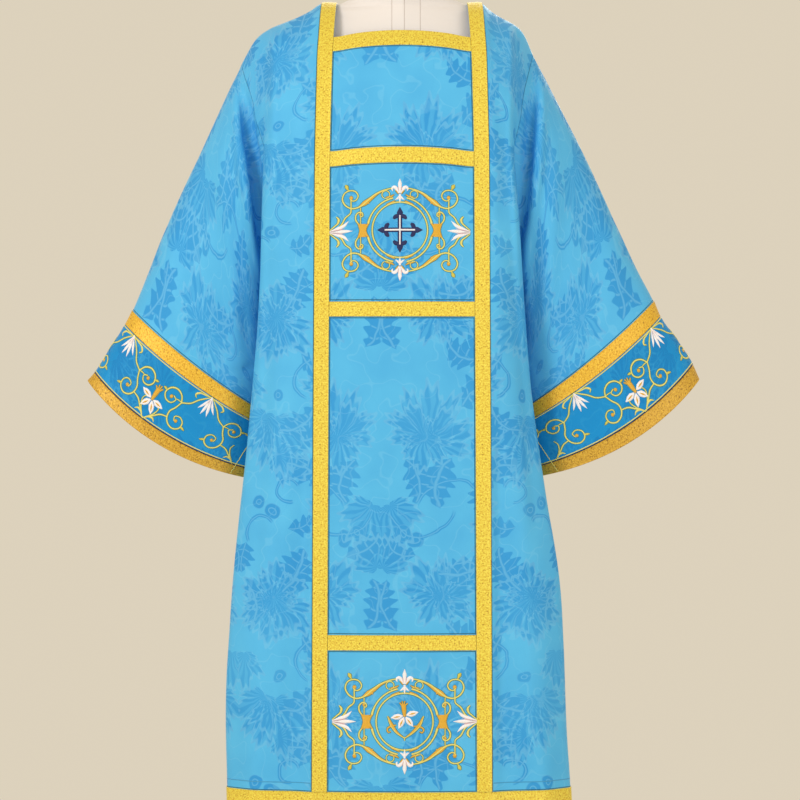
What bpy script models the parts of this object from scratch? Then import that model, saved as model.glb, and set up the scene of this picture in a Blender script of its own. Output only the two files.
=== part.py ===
# A dalmatic, hung on a limbless dress form with a pole and a round base.
# Metres, +Z up. The front faces -Y and left means -X. Sizes are taken from the pole's axis and the floor,
# and at the end the whole is moved sideways, so that the origin is on the floor under its middle.

import math
from collections import namedtuple

import bmesh
import bpy
from mathutils import Vector

# Walls and clearances
GAP = 0.0003            # clearance between pieces that meet
LIFT = 0.0004           # clearance under what is sewn on a panel
CLOTH = 0.0015          # wall of the damask panels and sleeves
GALLOON = 0.0010        # thickness of the woven galloon
BAND = 0.0012           # thickness of the embroidered cuff band

# Body panels. Each row runs across a panel from the centre to its side edge.
# frontZ, frontY: height and depth at the galloon on the front; backZ, backY: the same on the back.
# foldY: depth of the side fold; foldL, foldR: half width there, left and right.
# edgeY, edgeL, edgeR, edgeZL, edgeZR: the armhole edge, then the side seam below the underarm.
Row = namedtuple("Row", "frontZ frontY backZ backY foldY foldL foldR edgeY edgeL edgeR edgeZL edgeZR")
SHOULDER_ROWS = [
    Row(1.4450, 0.0002, 1.4450, 0.0002, 0.0002, 0.2000, 0.1680, 0.0002, 0.2390, 0.1960, 1.3560, 1.3680),
    Row(1.4340, 0.0300, 1.4370, 0.0300, 0.0235, 0.2000, 0.1680, 0.0200, 0.2375, 0.1915, 1.3450, 1.3510),
    Row(1.4140, 0.0540, 1.4250, 0.0540, 0.0430, 0.2000, 0.1680, 0.0350, 0.2330, 0.1865, 1.3300, 1.3310),
    Row(1.3850, 0.0760, 1.4080, 0.0740, 0.0590, 0.1990, 0.1680, 0.0480, 0.2260, 0.1815, 1.3100, 1.3110),
    Row(1.3630, 0.0880, 1.3860, 0.0880, 0.0700, 0.1990, 0.1670, 0.0580, 0.2200, 0.1780, 1.2910, 1.2910),
    Row(1.3250, 0.1020, 1.3400, 0.1000, 0.0820, 0.1990, 0.1660, 0.0680, 0.2165, 0.1750, 1.2690, 1.2690),
    Row(1.2850, 0.1120, 1.2950, 0.1080, 0.0900, 0.1990, 0.1640, 0.0750, 0.2100, 0.1700, 1.2470, 1.2470),
    Row(1.2500, 0.1180, 1.2520, 0.1120, 0.0940, 0.2000, 0.1625, 0.0790, 0.2030, 0.1640, 1.2240, 1.2240),
    Row(1.2135, 0.1210, 1.2135, 0.1140, 0.0950, 0.2005, 0.1630, 0.0780, 0.1975, 0.1590, 1.2000, 1.2000),
    Row(1.1910, 0.1225, 1.1910, 0.1140, 0.0950, 0.2020, 0.1650, 0.0740, 0.1935, 0.1560, 1.1760, 1.1760),
    Row(1.1500, 0.1230, 1.1500, 0.1140, 0.0940, 0.2035, 0.1690, 0.0640, 0.1900, 0.1550, 1.1420, 1.1420),
    Row(1.1100, 0.1230, 1.1100, 0.1130, 0.0920, 0.2050, 0.1720, 0.0470, 0.1880, 0.1555, 1.1050, 1.1050),
    Row(1.0750, 0.1230, 1.0750, 0.1120, 0.0900, 0.2060, 0.1740, 0.0240, 0.1870, 0.1570, 1.0720, 1.0720),
    Row(1.0450, 0.1230, 1.0450, 0.1110, 0.0880, 0.2065, 0.1755, 0.0002, 0.1870, 0.1580, 1.0450, 1.0450),
]
# Below the underarm the rows are level. tuck: how far the side seam lies inside the fold.
Skirt = namedtuple("Skirt", "z frontY backY foldY foldL foldR tuck")
SKIRT_ROWS = [
    Skirt(0.9945, 0.1235, 0.1100, 0.0840, 0.2095, 0.1785, 0.0200),
    Skirt(0.9725, 0.1235, 0.1100, 0.0830, 0.2110, 0.1800, 0.0210),
    Skirt(0.9200, 0.1235, 0.1090, 0.0810, 0.2155, 0.1845, 0.0230),
    Skirt(0.8600, 0.1235, 0.1080, 0.0790, 0.2210, 0.1910, 0.0250),
    Skirt(0.8000, 0.1235, 0.1080, 0.0770, 0.2265, 0.1990, 0.0260),
    Skirt(0.7400, 0.1235, 0.1080, 0.0760, 0.2325, 0.2075, 0.0260),
    Skirt(0.6900, 0.1235, 0.1080, 0.0750, 0.2380, 0.2150, 0.0220),
    Skirt(0.6400, 0.1230, 0.1080, 0.0750, 0.2430, 0.2235, 0.0160),
    Skirt(0.5900, 0.1230, 0.1080, 0.0750, 0.2475, 0.2305, 0.0120),
    Skirt(0.5500, 0.1230, 0.1080, 0.0745, 0.2505, 0.2340, 0.0100),
    Skirt(0.5085, 0.1230, 0.1080, 0.0740, 0.2530, 0.2360, 0.0090),
    Skirt(0.4860, 0.1230, 0.1080, 0.0740, 0.2545, 0.2370, 0.0080),
    Skirt(0.4400, 0.1225, 0.1080, 0.0730, 0.2570, 0.2385, 0.0060),
    Skirt(0.3900, 0.1220, 0.1080, 0.0720, 0.2580, 0.2400, 0.0050),
    Skirt(0.3400, 0.1215, 0.1075, 0.0700, 0.2575, 0.2425, 0.0040),
    Skirt(0.3050, 0.1210, 0.1075, 0.0690, 0.2565, 0.2450, 0.0040),
    Skirt(0.2795, 0.1210, 0.1070, 0.0680, 0.2560, 0.2465, 0.0040),
    Skirt(0.2570, 0.1205, 0.1070, 0.0670, 0.2555, 0.2475, 0.0040),
]

# The trims lie between two rows each, by their place in the joined table
NECK_BAR = (3, 4)
CHEST_BAR = (8, 9)
MIDDLE_BAR = (14, 15)
LOWER_BAR = (24, 25)
HEM_BAR = (30, 31)
UNDERARM = 13           # row where the armhole closes
ARCH = {0: 0.004, 3: 0.010, 4: 0.009, 6: 0.008, 9: 0.006, 13: 0.002, 14: 0.000}  # rise of a row's middle
BOW = 0.006             # how far the middle stands in front of the galloons

# Vertical galloons: inner edge's distance from the centre at a height, and their width
GALLOON_EDGE = [(1.445, 0.0975), (1.360, 0.1020), (1.210, 0.1050), (0.840, 0.1070), (0.257, 0.1095)]
GALLOON_WIDTH = 0.022

# Columns outward from the galloon, as shares of the way to the fold, and the soft flutes of the skirt
FLAT_SHARES = (0.22, 0.45, 0.68, 0.89)
FLUTE_SHARES = (0.9, 0.35, -0.6, -0.3)
FLUTE_DEPTH = 0.009     # deepest flute, at the hem
FLUTE_TOP = 1.000       # height where the flutes fade out
FOLD_LEAD = 0.010       # how far the cloth before the fold stands in front of it

# Sleeves. A ring runs from the top edge to the lower fold, and is as deep as half in front and half behind.
# bow: how far the middle of the ring reaches towards the cuff.
Ring = namedtuple("Ring", "topLX topLZ topRX topRZ lowLX lowLZ lowRX lowRZ depth bow")
SLEEVE_RINGS = [
    Ring(0.2465, 1.3390, 0.2035, 1.3530, 0.1980, 1.0320, 0.1690, 1.0320, 0.0590, 0.000),
    Ring(0.2570, 1.3180, 0.2140, 1.3330, 0.2010, 1.0120, 0.1735, 1.0120, 0.0715, 0.000),
    Ring(0.2800, 1.2680, 0.2390, 1.2840, 0.2030, 0.9800, 0.1765, 0.9800, 0.0690, 0.000),
    Ring(0.3060, 1.2110, 0.2700, 1.2230, 0.2045, 0.9450, 0.1780, 0.9450, 0.0640, 0.001),
    Ring(0.3300, 1.1610, 0.2970, 1.1660, 0.2050, 0.9190, 0.1785, 0.9200, 0.0610, 0.002),
    Ring(0.3540, 1.1060, 0.3260, 1.1010, 0.2065, 0.8930, 0.1805, 0.8940, 0.0580, 0.003),
    Ring(0.3790, 1.0430, 0.3510, 1.0480, 0.2085, 0.8640, 0.1820, 0.8660, 0.0550, 0.004),
    Ring(0.4030, 0.9850, 0.3765, 0.9990, 0.2105, 0.8350, 0.1835, 0.8380, 0.0520, 0.006),
    Ring(0.4135, 0.9640, 0.3860, 0.9760, 0.2130, 0.8150, 0.1860, 0.8180, 0.0510, 0.009),
    Ring(0.4370, 0.9270, 0.4110, 0.9410, 0.2160, 0.7800, 0.1910, 0.7840, 0.0490, 0.016),
    Ring(0.4590, 0.8920, 0.4345, 0.9040, 0.2190, 0.7460, 0.1960, 0.7500, 0.0475, 0.022),
    Ring(0.4700, 0.8795, 0.4445, 0.8815, 0.2220, 0.7330, 0.1990, 0.7360, 0.0460, 0.026),
]
CUFF_UPPER = (8, 9)     # ring numbers, counting the armhole as ring 0
CUFF_BAND = (9, 11)
CUFF_LOWER = (11, 12)

# Dress form. leftX and rightX of None are worked out from the shoulder that rests there.
SEAT = 0.0005           # clearance between the form's shoulder and the cloth
Section = namedtuple("Section", "z leftX rightX frontY backY power")
FORM_SECTIONS = [
    Section(0.7800, 0.1480, 0.1480, 0.0840, 0.0860, 2.2),
    Section(0.8300, 0.1480, 0.1480, 0.0860, 0.0900, 2.2),
    Section(0.8800, 0.1400, 0.1400, 0.0830, 0.0840, 2.2),
    Section(0.9400, 0.1290, 0.1290, 0.0780, 0.0740, 2.2),
    Section(1.0000, 0.1330, 0.1330, 0.0830, 0.0740, 2.2),
    Section(1.0700, 0.1420, 0.1420, 0.0920, 0.0800, 2.2),
    Section(1.1400, 0.1470, 0.1460, 0.0980, 0.0860, 2.2),
    Section(1.2100, 0.1500, 0.1480, 0.1000, 0.0880, 2.2),
    Section(1.2700, 0.1580, 0.1540, 0.0950, 0.0880, 2.2),
    Section(1.3200, 0.1690, 0.1620, 0.0850, 0.0840, 2.1),
    Section(1.3600, 0.1780, 0.1700, 0.0760, 0.0760, 2.0),
    Section(1.3850, 0.1800, 0.1710, 0.0700, 0.0700, 1.9),
    Section(1.4000, 0.1770, 0.1680, 0.0640, 0.0640, 1.6),
    Section(1.4120, None, None, 0.0590, 0.0600, 1.35),
    Section(1.4220, None, None, 0.0560, 0.0570, 1.25),
    Section(1.4310, None, None, 0.0530, 0.0550, 1.2),
    Section(1.4375, 0.1160, 0.1160, 0.0500, 0.0520, 1.15),
    Section(1.4440, 0.0930, 0.0930, 0.0510, 0.0530, 1.25),
    Section(1.4520, 0.0760, 0.0760, 0.0520, 0.0540, 1.5),
    Section(1.4630, 0.0650, 0.0650, 0.0530, 0.0555, 1.9),
    Section(1.4780, 0.0590, 0.0590, 0.0535, 0.0570, 2.0),
    Section(1.5000, 0.0575, 0.0575, 0.0530, 0.0565, 2.0),
    Section(1.5100, 0.0570, 0.0570, 0.0525, 0.0560, 2.0),
]
FORM_SIDES = 32
# Turned pieces as radius and height, from the axis outwards and back, bottom to top
CAP_PROFILE = [(0.050, 0.000), (0.054, 0.003), (0.054, 0.008), (0.044, 0.014), (0.024, 0.0175)]
BASE_PROFILE = [(0.190, 0.000), (0.196, 0.005), (0.194, 0.012), (0.180, 0.018), (0.120, 0.026),
                (0.060, 0.033), (0.032, 0.042), (0.026, 0.056), (0.024, 0.075)]
POLE_RADIUS = 0.015
TURNED_SIDES = 40
POLE_SIDES = 24


def material(name, color, roughness, metallic=0.0):
    made = bpy.data.materials.new(name)
    made.use_nodes = True
    shader = made.node_tree.nodes["Principled BSDF"]
    shader.inputs["Base Color"].default_value = (*color, 1.0)
    shader.inputs["Roughness"].default_value = roughness
    shader.inputs["Metallic"].default_value = metallic
    return made


def between(table, at):
    """Value at a place in a table of (place, value) pairs, which run up or down."""
    pairs = sorted(table)
    if at <= pairs[0][0]:
        return pairs[0][1]
    for (low, first), (high, second) in zip(pairs, pairs[1:]):
        if at <= high:
            return first + (second - first) * (at - low) / (high - low)
    return pairs[-1][1]


def drop(share):
    """How far down a shoulder row has gone at a share of its way from the galloon to its edge."""
    return 0.95 * share - 0.6 * share ** 2 + 0.65 * share ** 5.5


def full_rows():
    """The skirt's rows in the same columns as the shoulder's, so that one table holds the whole panel."""
    rows = list(SHOULDER_ROWS)
    for s in SKIRT_ROWS:
        rows.append(Row(s.z, s.frontY, s.z, s.backY, s.foldY, s.foldL, s.foldR, GAP / 2,
                        s.foldL - s.tuck, s.foldR - s.tuck, s.z, s.z))
    return rows


ROWS = full_rows()


def half_row(index, front, left):
    """Points of one row from the galloon's inner edge out to the side edge, as x, y, z with x positive."""
    row = ROWS[index]
    z = row.frontZ if front else row.backZ
    y = row.frontY if front else row.backY
    fold_x = row.foldL if left else row.foldR
    edge_x = row.edgeL if left else row.edgeR
    edge_z = row.edgeZL if left else row.edgeZR
    inner = between(GALLOON_EDGE, z)
    outer = inner + GALLOON_WIDTH
    fluted = FLUTE_DEPTH * max(0.0, (FLUTE_TOP - z) / (FLUTE_TOP - ROWS[-1].frontZ))
    lead_y = row.foldY + min(FOLD_LEAD, y - row.foldY)
    points = [(inner, y, z), (outer, y, z)]
    for share, flute in zip(FLAT_SHARES, FLUTE_SHARES):
        x = outer + (fold_x - outer) * share
        depth = y + (lead_y - y) * (share / FLAT_SHARES[-1]) ** 1.8 - fluted * flute
        points.append((x, depth, 0.0))
    points.append((fold_x, row.foldY, 0.0))
    points.append(((fold_x + edge_x) / 2, (row.foldY + row.edgeY) / 2, 0.0))
    points.append((edge_x, row.edgeY, 0.0))
    reach = max(edge_x, fold_x)
    for n in range(2, len(points)):
        x, depth, _ = points[n]
        share = n / (len(points) - 1) if edge_x < fold_x else (x - outer) / (reach - outer)
        points[n] = (x, depth, z + (edge_z - z) * drop(share))
    return points


def panel_grid(front):
    """Outer points of a body panel, row by row from the shoulder down, left edge to right edge."""
    side = -1.0 if front else 1.0
    grid = []
    for index, row in enumerate(ROWS):
        left = [Vector((-x, side * y, z)) for x, y, z in half_row(index, front, True)]
        right = [Vector((x, side * y, z)) for x, y, z in half_row(index, front, False)]
        rise = between(list(ARCH.items()), index)
        middle = []
        for share in (-0.66, -0.33, 0.0, 0.33, 0.66):
            spread = right[0].x * share
            crown = 1.0 - share * share
            y = (row.frontY if front else row.backY) + BOW * crown * min(1.0, index / 4)
            middle.append(Vector((spread, side * y, right[0].z + rise * crown)))
        grid.append(list(reversed(left)) + middle + right)
    return grid


def grid_cells(grid, closed, open_cell=None):
    """A grid's cells as four places each, clockwise from the same corner, less those that are left open."""
    cells = []
    columns = len(grid[0])
    for i in range(len(grid) - 1):
        for j in range(columns if closed else columns - 1):
            if open_cell and open_cell(i, j):
                continue
            k = (j + 1) % columns
            cells.append(((i, j), (i, k), (i + 1, k), (i + 1, j)))
    return cells


def grid_normals(grid, cells, away):
    """Unit normal at each point, turned to the side that away(point, normal) calls outer."""
    normals = [[Vector() for _ in line] for line in grid]
    for a, b, c, d in cells:
        pa, pb, pc, pd = (grid[i][j] for i, j in (a, b, c, d))
        normal = (pc - pa).cross(pd - pb)
        for i, j in (a, b, c, d):
            normals[i][j] += normal
    for i, line in enumerate(normals):
        for j, normal in enumerate(line):
            if normal.length > 0:
                normal.normalize()
                if not away(grid[i][j], normal):
                    normal.negate()
    return normals


def shell(name, outer, inner, cells, look):
    """A closed wall between two grids that share their cells."""
    mesh = bpy.data.meshes.new(name)
    bm = bmesh.new()
    used = sorted({corner for cell in cells for corner in cell})
    top = {c: bm.verts.new(outer[c[0]][c[1]]) for c in used}
    under = {c: bm.verts.new(inner[c[0]][c[1]]) for c in used}
    edges = {}
    for a, b, c, d in cells:
        for one, two, three in ((a, b, c), (a, c, d)):
            bm.faces.new((top[one], top[two], top[three]))
            bm.faces.new((under[three], under[two], under[one]))
        for one, two in ((a, b), (b, c), (c, d), (d, a)):
            key = frozenset((one, two))
            edges[key] = None if key in edges else (one, two)
    for pair in edges.values():
        if pair:
            one, two = pair
            bm.faces.new((top[two], top[one], under[one]))
            bm.faces.new((top[two], under[one], under[two]))
    finish(bm, mesh, look)


def finish(bm, mesh, look):
    """Turns a finished mesh outwards, shades it and puts it in the scene under its own name."""
    bmesh.ops.recalc_face_normals(bm, faces=bm.faces)
    bm.to_mesh(mesh)
    bm.free()
    mesh.materials.append(look)
    mesh.shade_smooth()
    mesh.set_sharp_from_angle(angle=math.radians(40))
    bpy.context.scene.collection.objects.link(bpy.data.objects.new(mesh.name, mesh))


def moved(grid, normals, distance):
    return [[p + n * distance for p, n in zip(line, lean)] for line, lean in zip(grid, normals)]


def wall(name, grid, normals, cells, low, high, look):
    """A wall on a grid: high and low are the outer and inner face's distances from the grid's points."""
    shell(name, moved(grid, normals, high), moved(grid, normals, low), cells, look)


def at(grid, line, column):
    """Point of a grid at a place that may lie between two of its lines or columns."""
    i, j = int(line), int(column)
    s, t = line - i, column - j
    k, m = min(i + 1, len(grid) - 1), (j + 1) % len(grid[0])
    upper = grid[i][j].lerp(grid[i][m], t) if t else grid[i][j]
    lower = grid[k][j].lerp(grid[k][m], t) if t else grid[k][j]
    return upper.lerp(lower, s)


def patch(grid, lines, columns):
    return [[at(grid, line, column) for column in columns] for line in lines]


def trim(name, grid, normals, lines, columns, thick, look, closed=False):
    """A strip sewn on a grid: its points are the grid's own, moved out."""
    points = patch(grid, lines, columns)
    leans = patch(normals, lines, columns)
    cells = grid_cells(points, closed)
    wall(name, points, leans, cells, LIFT, LIFT + thick, look)


def shift(grid, line, column, toward_line, toward_column, distance):
    """How much of one grid step a distance is, going from one point towards another."""
    return distance / (at(grid, line, column) - at(grid, toward_line, toward_column)).length


# Column numbers across a panel
SIDE_COLUMNS = 2 + len(FLAT_SHARES) + 3
LEFT_OUTER, LEFT_INNER = SIDE_COLUMNS - 2, SIDE_COLUMNS - 1
RIGHT_INNER, RIGHT_OUTER = SIDE_COLUMNS + 5, SIDE_COLUMNS + 6
LAST_COLUMN = 2 * SIDE_COLUMNS + 4


def outward(point, normal):
    """Panels face away from the upright line through the middle of the body."""
    return normal.x * point.x * 0.4 + normal.y * point.y + normal.z * 0.02 > 0


def in_neck(i, j):
    return i < NECK_BAR[0] and LEFT_INNER <= j < RIGHT_INNER


def mitred(normals):
    """Normals turned level with the joint where front and back meet, so that neither wall crosses it."""
    for i, line in enumerate(normals):
        for j, normal in enumerate(line):
            if i == 0 or (i >= UNDERARM and j in (0, LAST_COLUMN)):
                if normal.length > 0:
                    line[j] = Vector((normal.x, 0, normal.z)).normalized()
    return normals


def body_panels(damask):
    made = {}
    for name, front in (("front", True), ("back", False)):
        grid = panel_grid(front)
        cells = grid_cells(grid, False, in_neck)
        normals = mitred(grid_normals(grid, cells, outward))
        wall(name, grid, normals, cells, -CLOTH, 0.0, damask)
        made[name] = (grid, normals)
    return made


def panel_trims(panels, gold):
    """Bars across, hem bands, and the two galloons that run from hem to hem over the shoulders."""
    bars = (("neck", NECK_BAR), ("chest", CHEST_BAR), ("middle", MIDDLE_BAR), ("lower", LOWER_BAR))
    for side, (grid, normals) in panels.items():
        for bar, (top, bottom) in bars:
            inset = shift(grid, top, LEFT_INNER, top, LEFT_INNER + 1, GAP)
            columns = [LEFT_INNER + inset, *range(LEFT_INNER + 1, RIGHT_INNER), RIGHT_INNER - inset]
            trim(f"bar_{bar}_{side}", grid, normals, (top, bottom), columns, GALLOON, gold)
        trim(f"hem_band_{side}", grid, normals, HEM_BAR, range(LAST_COLUMN + 1), GALLOON, gold)
    for name, columns in (("galloon_left", (LEFT_OUTER, LEFT_INNER)),
                          ("galloon_right", (RIGHT_INNER, RIGHT_OUTER))):
        points, leans = [], []
        for side in ("back", "front"):
            grid, normals = panels[side]
            top = HEM_BAR[0]
            end = top - shift(grid, top, columns[0], top - 1, columns[0], GAP)
            lines = [end, *range(top - 1, 0, -1)]
            if side == "front":
                lines.reverse()
            points += patch(grid, lines, columns)
            leans += patch(normals, lines, columns)
            if side == "back":
                other = panels["front"]
                points.append([(grid[0][c] + other[0][0][c]) / 2 for c in columns])
                leans.append([(normals[0][c] + other[1][0][c]).normalized() for c in columns])
        cells = grid_cells(points, False)
        wall(name, points, leans, cells, LIFT, LIFT + GALLOON, gold)


def ring_angles(left):
    """Angle of each armhole row round the sleeve, from 0 at the top to a half turn at the underarm."""
    heights = [row.edgeZL if left else row.edgeZR for row in ROWS[:UNDERARM + 1]]
    span = heights[0] - heights[-1]
    return [math.acos(2 * (z - heights[-1]) / span - 1) for z in heights]


def sleeve_grid(panels, left):
    """Outer points of a sleeve, ring by ring from the armhole to the rim."""
    sign = -1.0 if left else 1.0
    edge = 0 if left else LAST_COLUMN
    before = 1 if left else LAST_COLUMN - 1
    rounds = UNDERARM
    steps = [(n, "front") for n in range(rounds + 1)] + [(n, "back") for n in range(rounds - 1, 0, -1)]
    rings = []
    own = ring_angles(left)
    for number, ring in enumerate(SLEEVE_RINGS):
        if left:
            top, low = Vector((-ring.topLX, 0, ring.topLZ)), Vector((-ring.lowLX, 0, ring.lowLZ))
        else:
            top, low = Vector((ring.topRX, 0, ring.topRZ)), Vector((ring.lowRX, 0, ring.lowRZ))
        across = top - low
        reach = Vector((across.z * sign, 0, -across.x * sign)).normalized()
        even = min(1.0, (number + 1) / 5)
        line = []
        for n, side in steps:
            angle = own[n] + (math.pi * n / rounds - own[n]) * even
            deep = ring.depth * math.sin(angle) * (-1 if side == "front" else 1)
            place = low + across * (1 + math.cos(angle)) / 2 + reach * ring.bow * math.sin(angle) ** 2
            line.append(place + Vector((0, deep, 0)))
        rings.append(line)
    armhole = []
    for place, (n, side) in enumerate(steps):
        grid = panels[side][0]
        seam = grid[n][edge]
        if n in (0, rounds):
            seam = (seam + panels["back"][0][n][edge]) / 2
        leaving = (grid[n][edge] - grid[n][before]).normalized()
        if n == 0:
            leaving = Vector((leaving.x, 0, leaving.z)).normalized()
        if n == rounds:
            leaving = Vector((sign, 0, 0.6)).normalized()
        onward = (rings[0][place] - seam).normalized()
        armhole.append(seam + leaving * GAP * 1.6 + onward * GAP * 1.2)
    return [armhole] + rings


def sleeves(panels, damask, gold, embroidered):
    for side, left in (("left", True), ("right", False)):
        grid = sleeve_grid(panels, left)
        cells = grid_cells(grid, True)
        middles = [sum(line, Vector()) / len(line) for line in grid]
        spine = {tuple(p): middles[i] for i, line in enumerate(grid) for p in line}

        def away(point, normal):
            return normal.dot(point - spine[tuple(point)]) > 0

        normals = grid_normals(grid, cells, away)
        wall(f"sleeve_{side}", grid, normals, cells, -CLOTH, 0.0, damask)
        columns = range(len(grid[0]))
        for name, (first, last), thick, look in (
                ("cuff_galloon_upper", CUFF_UPPER, GALLOON, gold),
                ("cuff_band", CUFF_BAND, BAND, embroidered),
                ("cuff_galloon_lower", CUFF_LOWER, GALLOON, gold)):
            inset = shift(grid, first, 0, first + 1, 0, GAP)
            lines = [first + inset, *range(first + 1, last + 1)]
            trim(f"{name}_{side}", grid, normals, lines, columns, thick, look, closed=True)


def seat_reach(z, left):
    """How far out the form goes at a height, just under the cloth's shoulder row."""
    row = [Vector((x, 0, height)) for x, _, height in half_row(0, True, left)]
    under = []
    for before, point, after in zip(row, row[1:], row[2:]):
        normals = [Vector((a.z - b.z, 0, b.x - a.x)).normalized() for a, b in ((before, point), (point, after))]
        mitre = (normals[0] + normals[1]).normalized()
        under.append(point - mitre * (CLOTH + SEAT) / mitre.dot(normals[1]))
    return between([(p.z, p.x) for p in under], z)


def dress_form(linen):
    mesh = bpy.data.meshes.new("form_torso")
    bm = bmesh.new()
    loops = []
    for s in FORM_SECTIONS:
        left = s.leftX or seat_reach(s.z, True)
        right = s.rightX or seat_reach(s.z, False)
        loop = []
        for n in range(FORM_SIDES):
            turn = 2 * math.pi * n / FORM_SIDES
            across, deep = math.cos(turn), math.sin(turn)
            x = math.copysign(abs(across) ** (2 / s.power), across) * (right if across > 0 else left)
            y = math.copysign(abs(deep) ** (2 / s.power), deep) * (s.backY if deep > 0 else s.frontY)
            loop.append(bm.verts.new((x, y, s.z)))
        loops.append(loop)
    for lower, upper in zip(loops, loops[1:]):
        for n in range(FORM_SIDES):
            k = (n + 1) % FORM_SIDES
            bm.faces.new((lower[n], lower[k], upper[k], upper[n]))
    bm.faces.new(reversed(loops[0]))
    bm.faces.new(loops[-1])
    finish(bm, mesh, linen)


def turned(name, profile, height, sides, look):
    """A solid of revolution that stands at a height, from its profile's first point to its last."""
    mesh = bpy.data.meshes.new(name)
    bm = bmesh.new()
    loops = []
    for radius, z in profile:
        turns = [2 * math.pi * n / sides for n in range(sides)]
        loops.append([bm.verts.new((radius * math.cos(t), radius * math.sin(t), height + z)) for t in turns])
    for lower, upper in zip(loops, loops[1:]):
        for n in range(sides):
            k = (n + 1) % sides
            bm.faces.new((lower[n], lower[k], upper[k], upper[n]))
    bm.faces.new(reversed(loops[0]))
    bm.faces.new(loops[-1])
    finish(bm, mesh, look)


def stand(wood, metal):
    base_top = BASE_PROFILE[-1][1]
    pole_foot = base_top + GAP
    pole_length = FORM_SECTIONS[0].z - GAP - pole_foot
    pole = [(POLE_RADIUS, 0.0), (POLE_RADIUS, pole_length)]
    turned("neck_cap", CAP_PROFILE, FORM_SECTIONS[-1].z + GAP, TURNED_SIDES, wood)
    turned("pole", pole, pole_foot, POLE_SIDES, metal)
    turned("base", BASE_PROFILE, 0.0, TURNED_SIDES, metal)


def centre_on_floor():
    """Moves every piece sideways alike, so that the origin lies under the middle of the whole."""
    reach = [v.co.x for obj in bpy.data.objects for v in obj.data.vertices]
    for obj in bpy.data.objects:
        obj.location.x = -(min(reach) + max(reach)) / 2


def main():
    for obj in list(bpy.data.objects):
        bpy.data.objects.remove(obj, do_unlink=True)
    damask = material("damask", (0.08, 0.42, 0.76), 0.55)
    gold = material("galloon", (0.78, 0.52, 0.06), 0.45, 0.2)
    embroidered = material("embroidered", (0.02, 0.22, 0.62), 0.5)
    linen = material("linen", (0.82, 0.80, 0.75), 0.8)
    wood = material("wood", (0.32, 0.17, 0.08), 0.45)
    metal = material("metal", (0.04, 0.04, 0.045), 0.4, 0.6)
    panels = body_panels(damask)
    panel_trims(panels, gold)
    sleeves(panels, damask, gold, embroidered)
    dress_form(linen)
    stand(wood, metal)
    centre_on_floor()


main()
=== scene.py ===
import math

import bpy
import numpy as np
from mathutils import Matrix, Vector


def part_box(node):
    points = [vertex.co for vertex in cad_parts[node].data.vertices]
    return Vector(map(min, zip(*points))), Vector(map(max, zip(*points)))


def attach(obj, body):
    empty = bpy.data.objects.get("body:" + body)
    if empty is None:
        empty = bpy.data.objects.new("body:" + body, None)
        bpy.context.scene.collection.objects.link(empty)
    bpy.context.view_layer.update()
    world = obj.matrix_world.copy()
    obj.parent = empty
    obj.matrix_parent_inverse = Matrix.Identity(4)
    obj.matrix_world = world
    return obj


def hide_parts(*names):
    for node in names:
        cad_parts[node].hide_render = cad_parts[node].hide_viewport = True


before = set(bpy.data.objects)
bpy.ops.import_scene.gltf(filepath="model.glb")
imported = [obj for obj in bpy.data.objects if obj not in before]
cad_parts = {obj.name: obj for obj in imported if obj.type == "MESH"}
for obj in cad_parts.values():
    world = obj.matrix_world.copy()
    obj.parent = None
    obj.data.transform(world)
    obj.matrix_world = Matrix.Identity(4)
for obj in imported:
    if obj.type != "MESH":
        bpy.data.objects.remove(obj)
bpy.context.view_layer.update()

poleLow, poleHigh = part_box("pole")
poleX = (poleLow.x + poleHigh.x) / 2  # the tables are measured from the pole's axis and the floor

seam = 0.0003  # clearance between pieces that meet
lift = 0.0004  # clearance under what is sewn on
clothWall = 0.0015
cell = 0.006  # size of the fine mesh's cells


# Grids of points, read smoothly between their lines

# Curves through the lines of a grid along one of its ways, at places that may lie between two lines
def readBetween(grid, places, way=0):
    grid = np.moveaxis(np.asarray(grid, float), way, 0)
    places = np.asarray(places, float)
    steps = np.linalg.norm(np.diff(grid, axis=0), axis=-1)
    steps = np.maximum(steps.reshape(len(steps), -1).mean(axis=1), 1e-6).reshape(-1, *[1] * (grid.ndim - 1))
    slopes = np.diff(grid, axis=0) / steps
    inner = (slopes[:-1] * steps[1:] + slopes[1:] * steps[:-1]) / (steps[1:] + steps[:-1])
    leans = np.concatenate([slopes[:1], inner, slopes[-1:]])
    line = np.clip(places.astype(int), 0, len(grid) - 2)
    s = (places - line).reshape(-1, *[1] * (grid.ndim - 1))
    reach = steps[line]
    made = (grid[line] * (2 * s**3 - 3 * s**2 + 1) + grid[line + 1] * (3 * s**2 - 2 * s**3)
            + leans[line] * reach * (s**3 - 2 * s**2 + s) + leans[line + 1] * reach * (s**3 - s**2))
    return np.moveaxis(made, 0, way)


# Places that cut each interval of a grid into steps no longer than size
def finePlaces(grid, way, size):
    grid = np.moveaxis(grid, way, 0)
    steps = np.linalg.norm(np.diff(grid, axis=0), axis=-1).max(axis=1)
    counts = [max(1, round(step / size)) for step in steps]
    places = [np.linspace(n, n + 1, count, endpoint=False) for n, count in enumerate(counts)]
    return np.concatenate(places + [[float(len(steps))]])


def gridNormals(points):
    along = np.gradient(points, axis=0)
    across = np.gradient(points, axis=1)
    normals = np.cross(along, across)
    return normals / np.maximum(np.linalg.norm(normals, axis=2, keepdims=True), 1e-12)


def lengths(points, way):
    steps = np.linalg.norm(np.diff(points, axis=way), axis=2)
    zero = np.zeros_like(np.take(points[..., 0], [0], axis=way))
    return np.concatenate([zero, np.cumsum(steps, axis=way)], axis=way)


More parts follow.
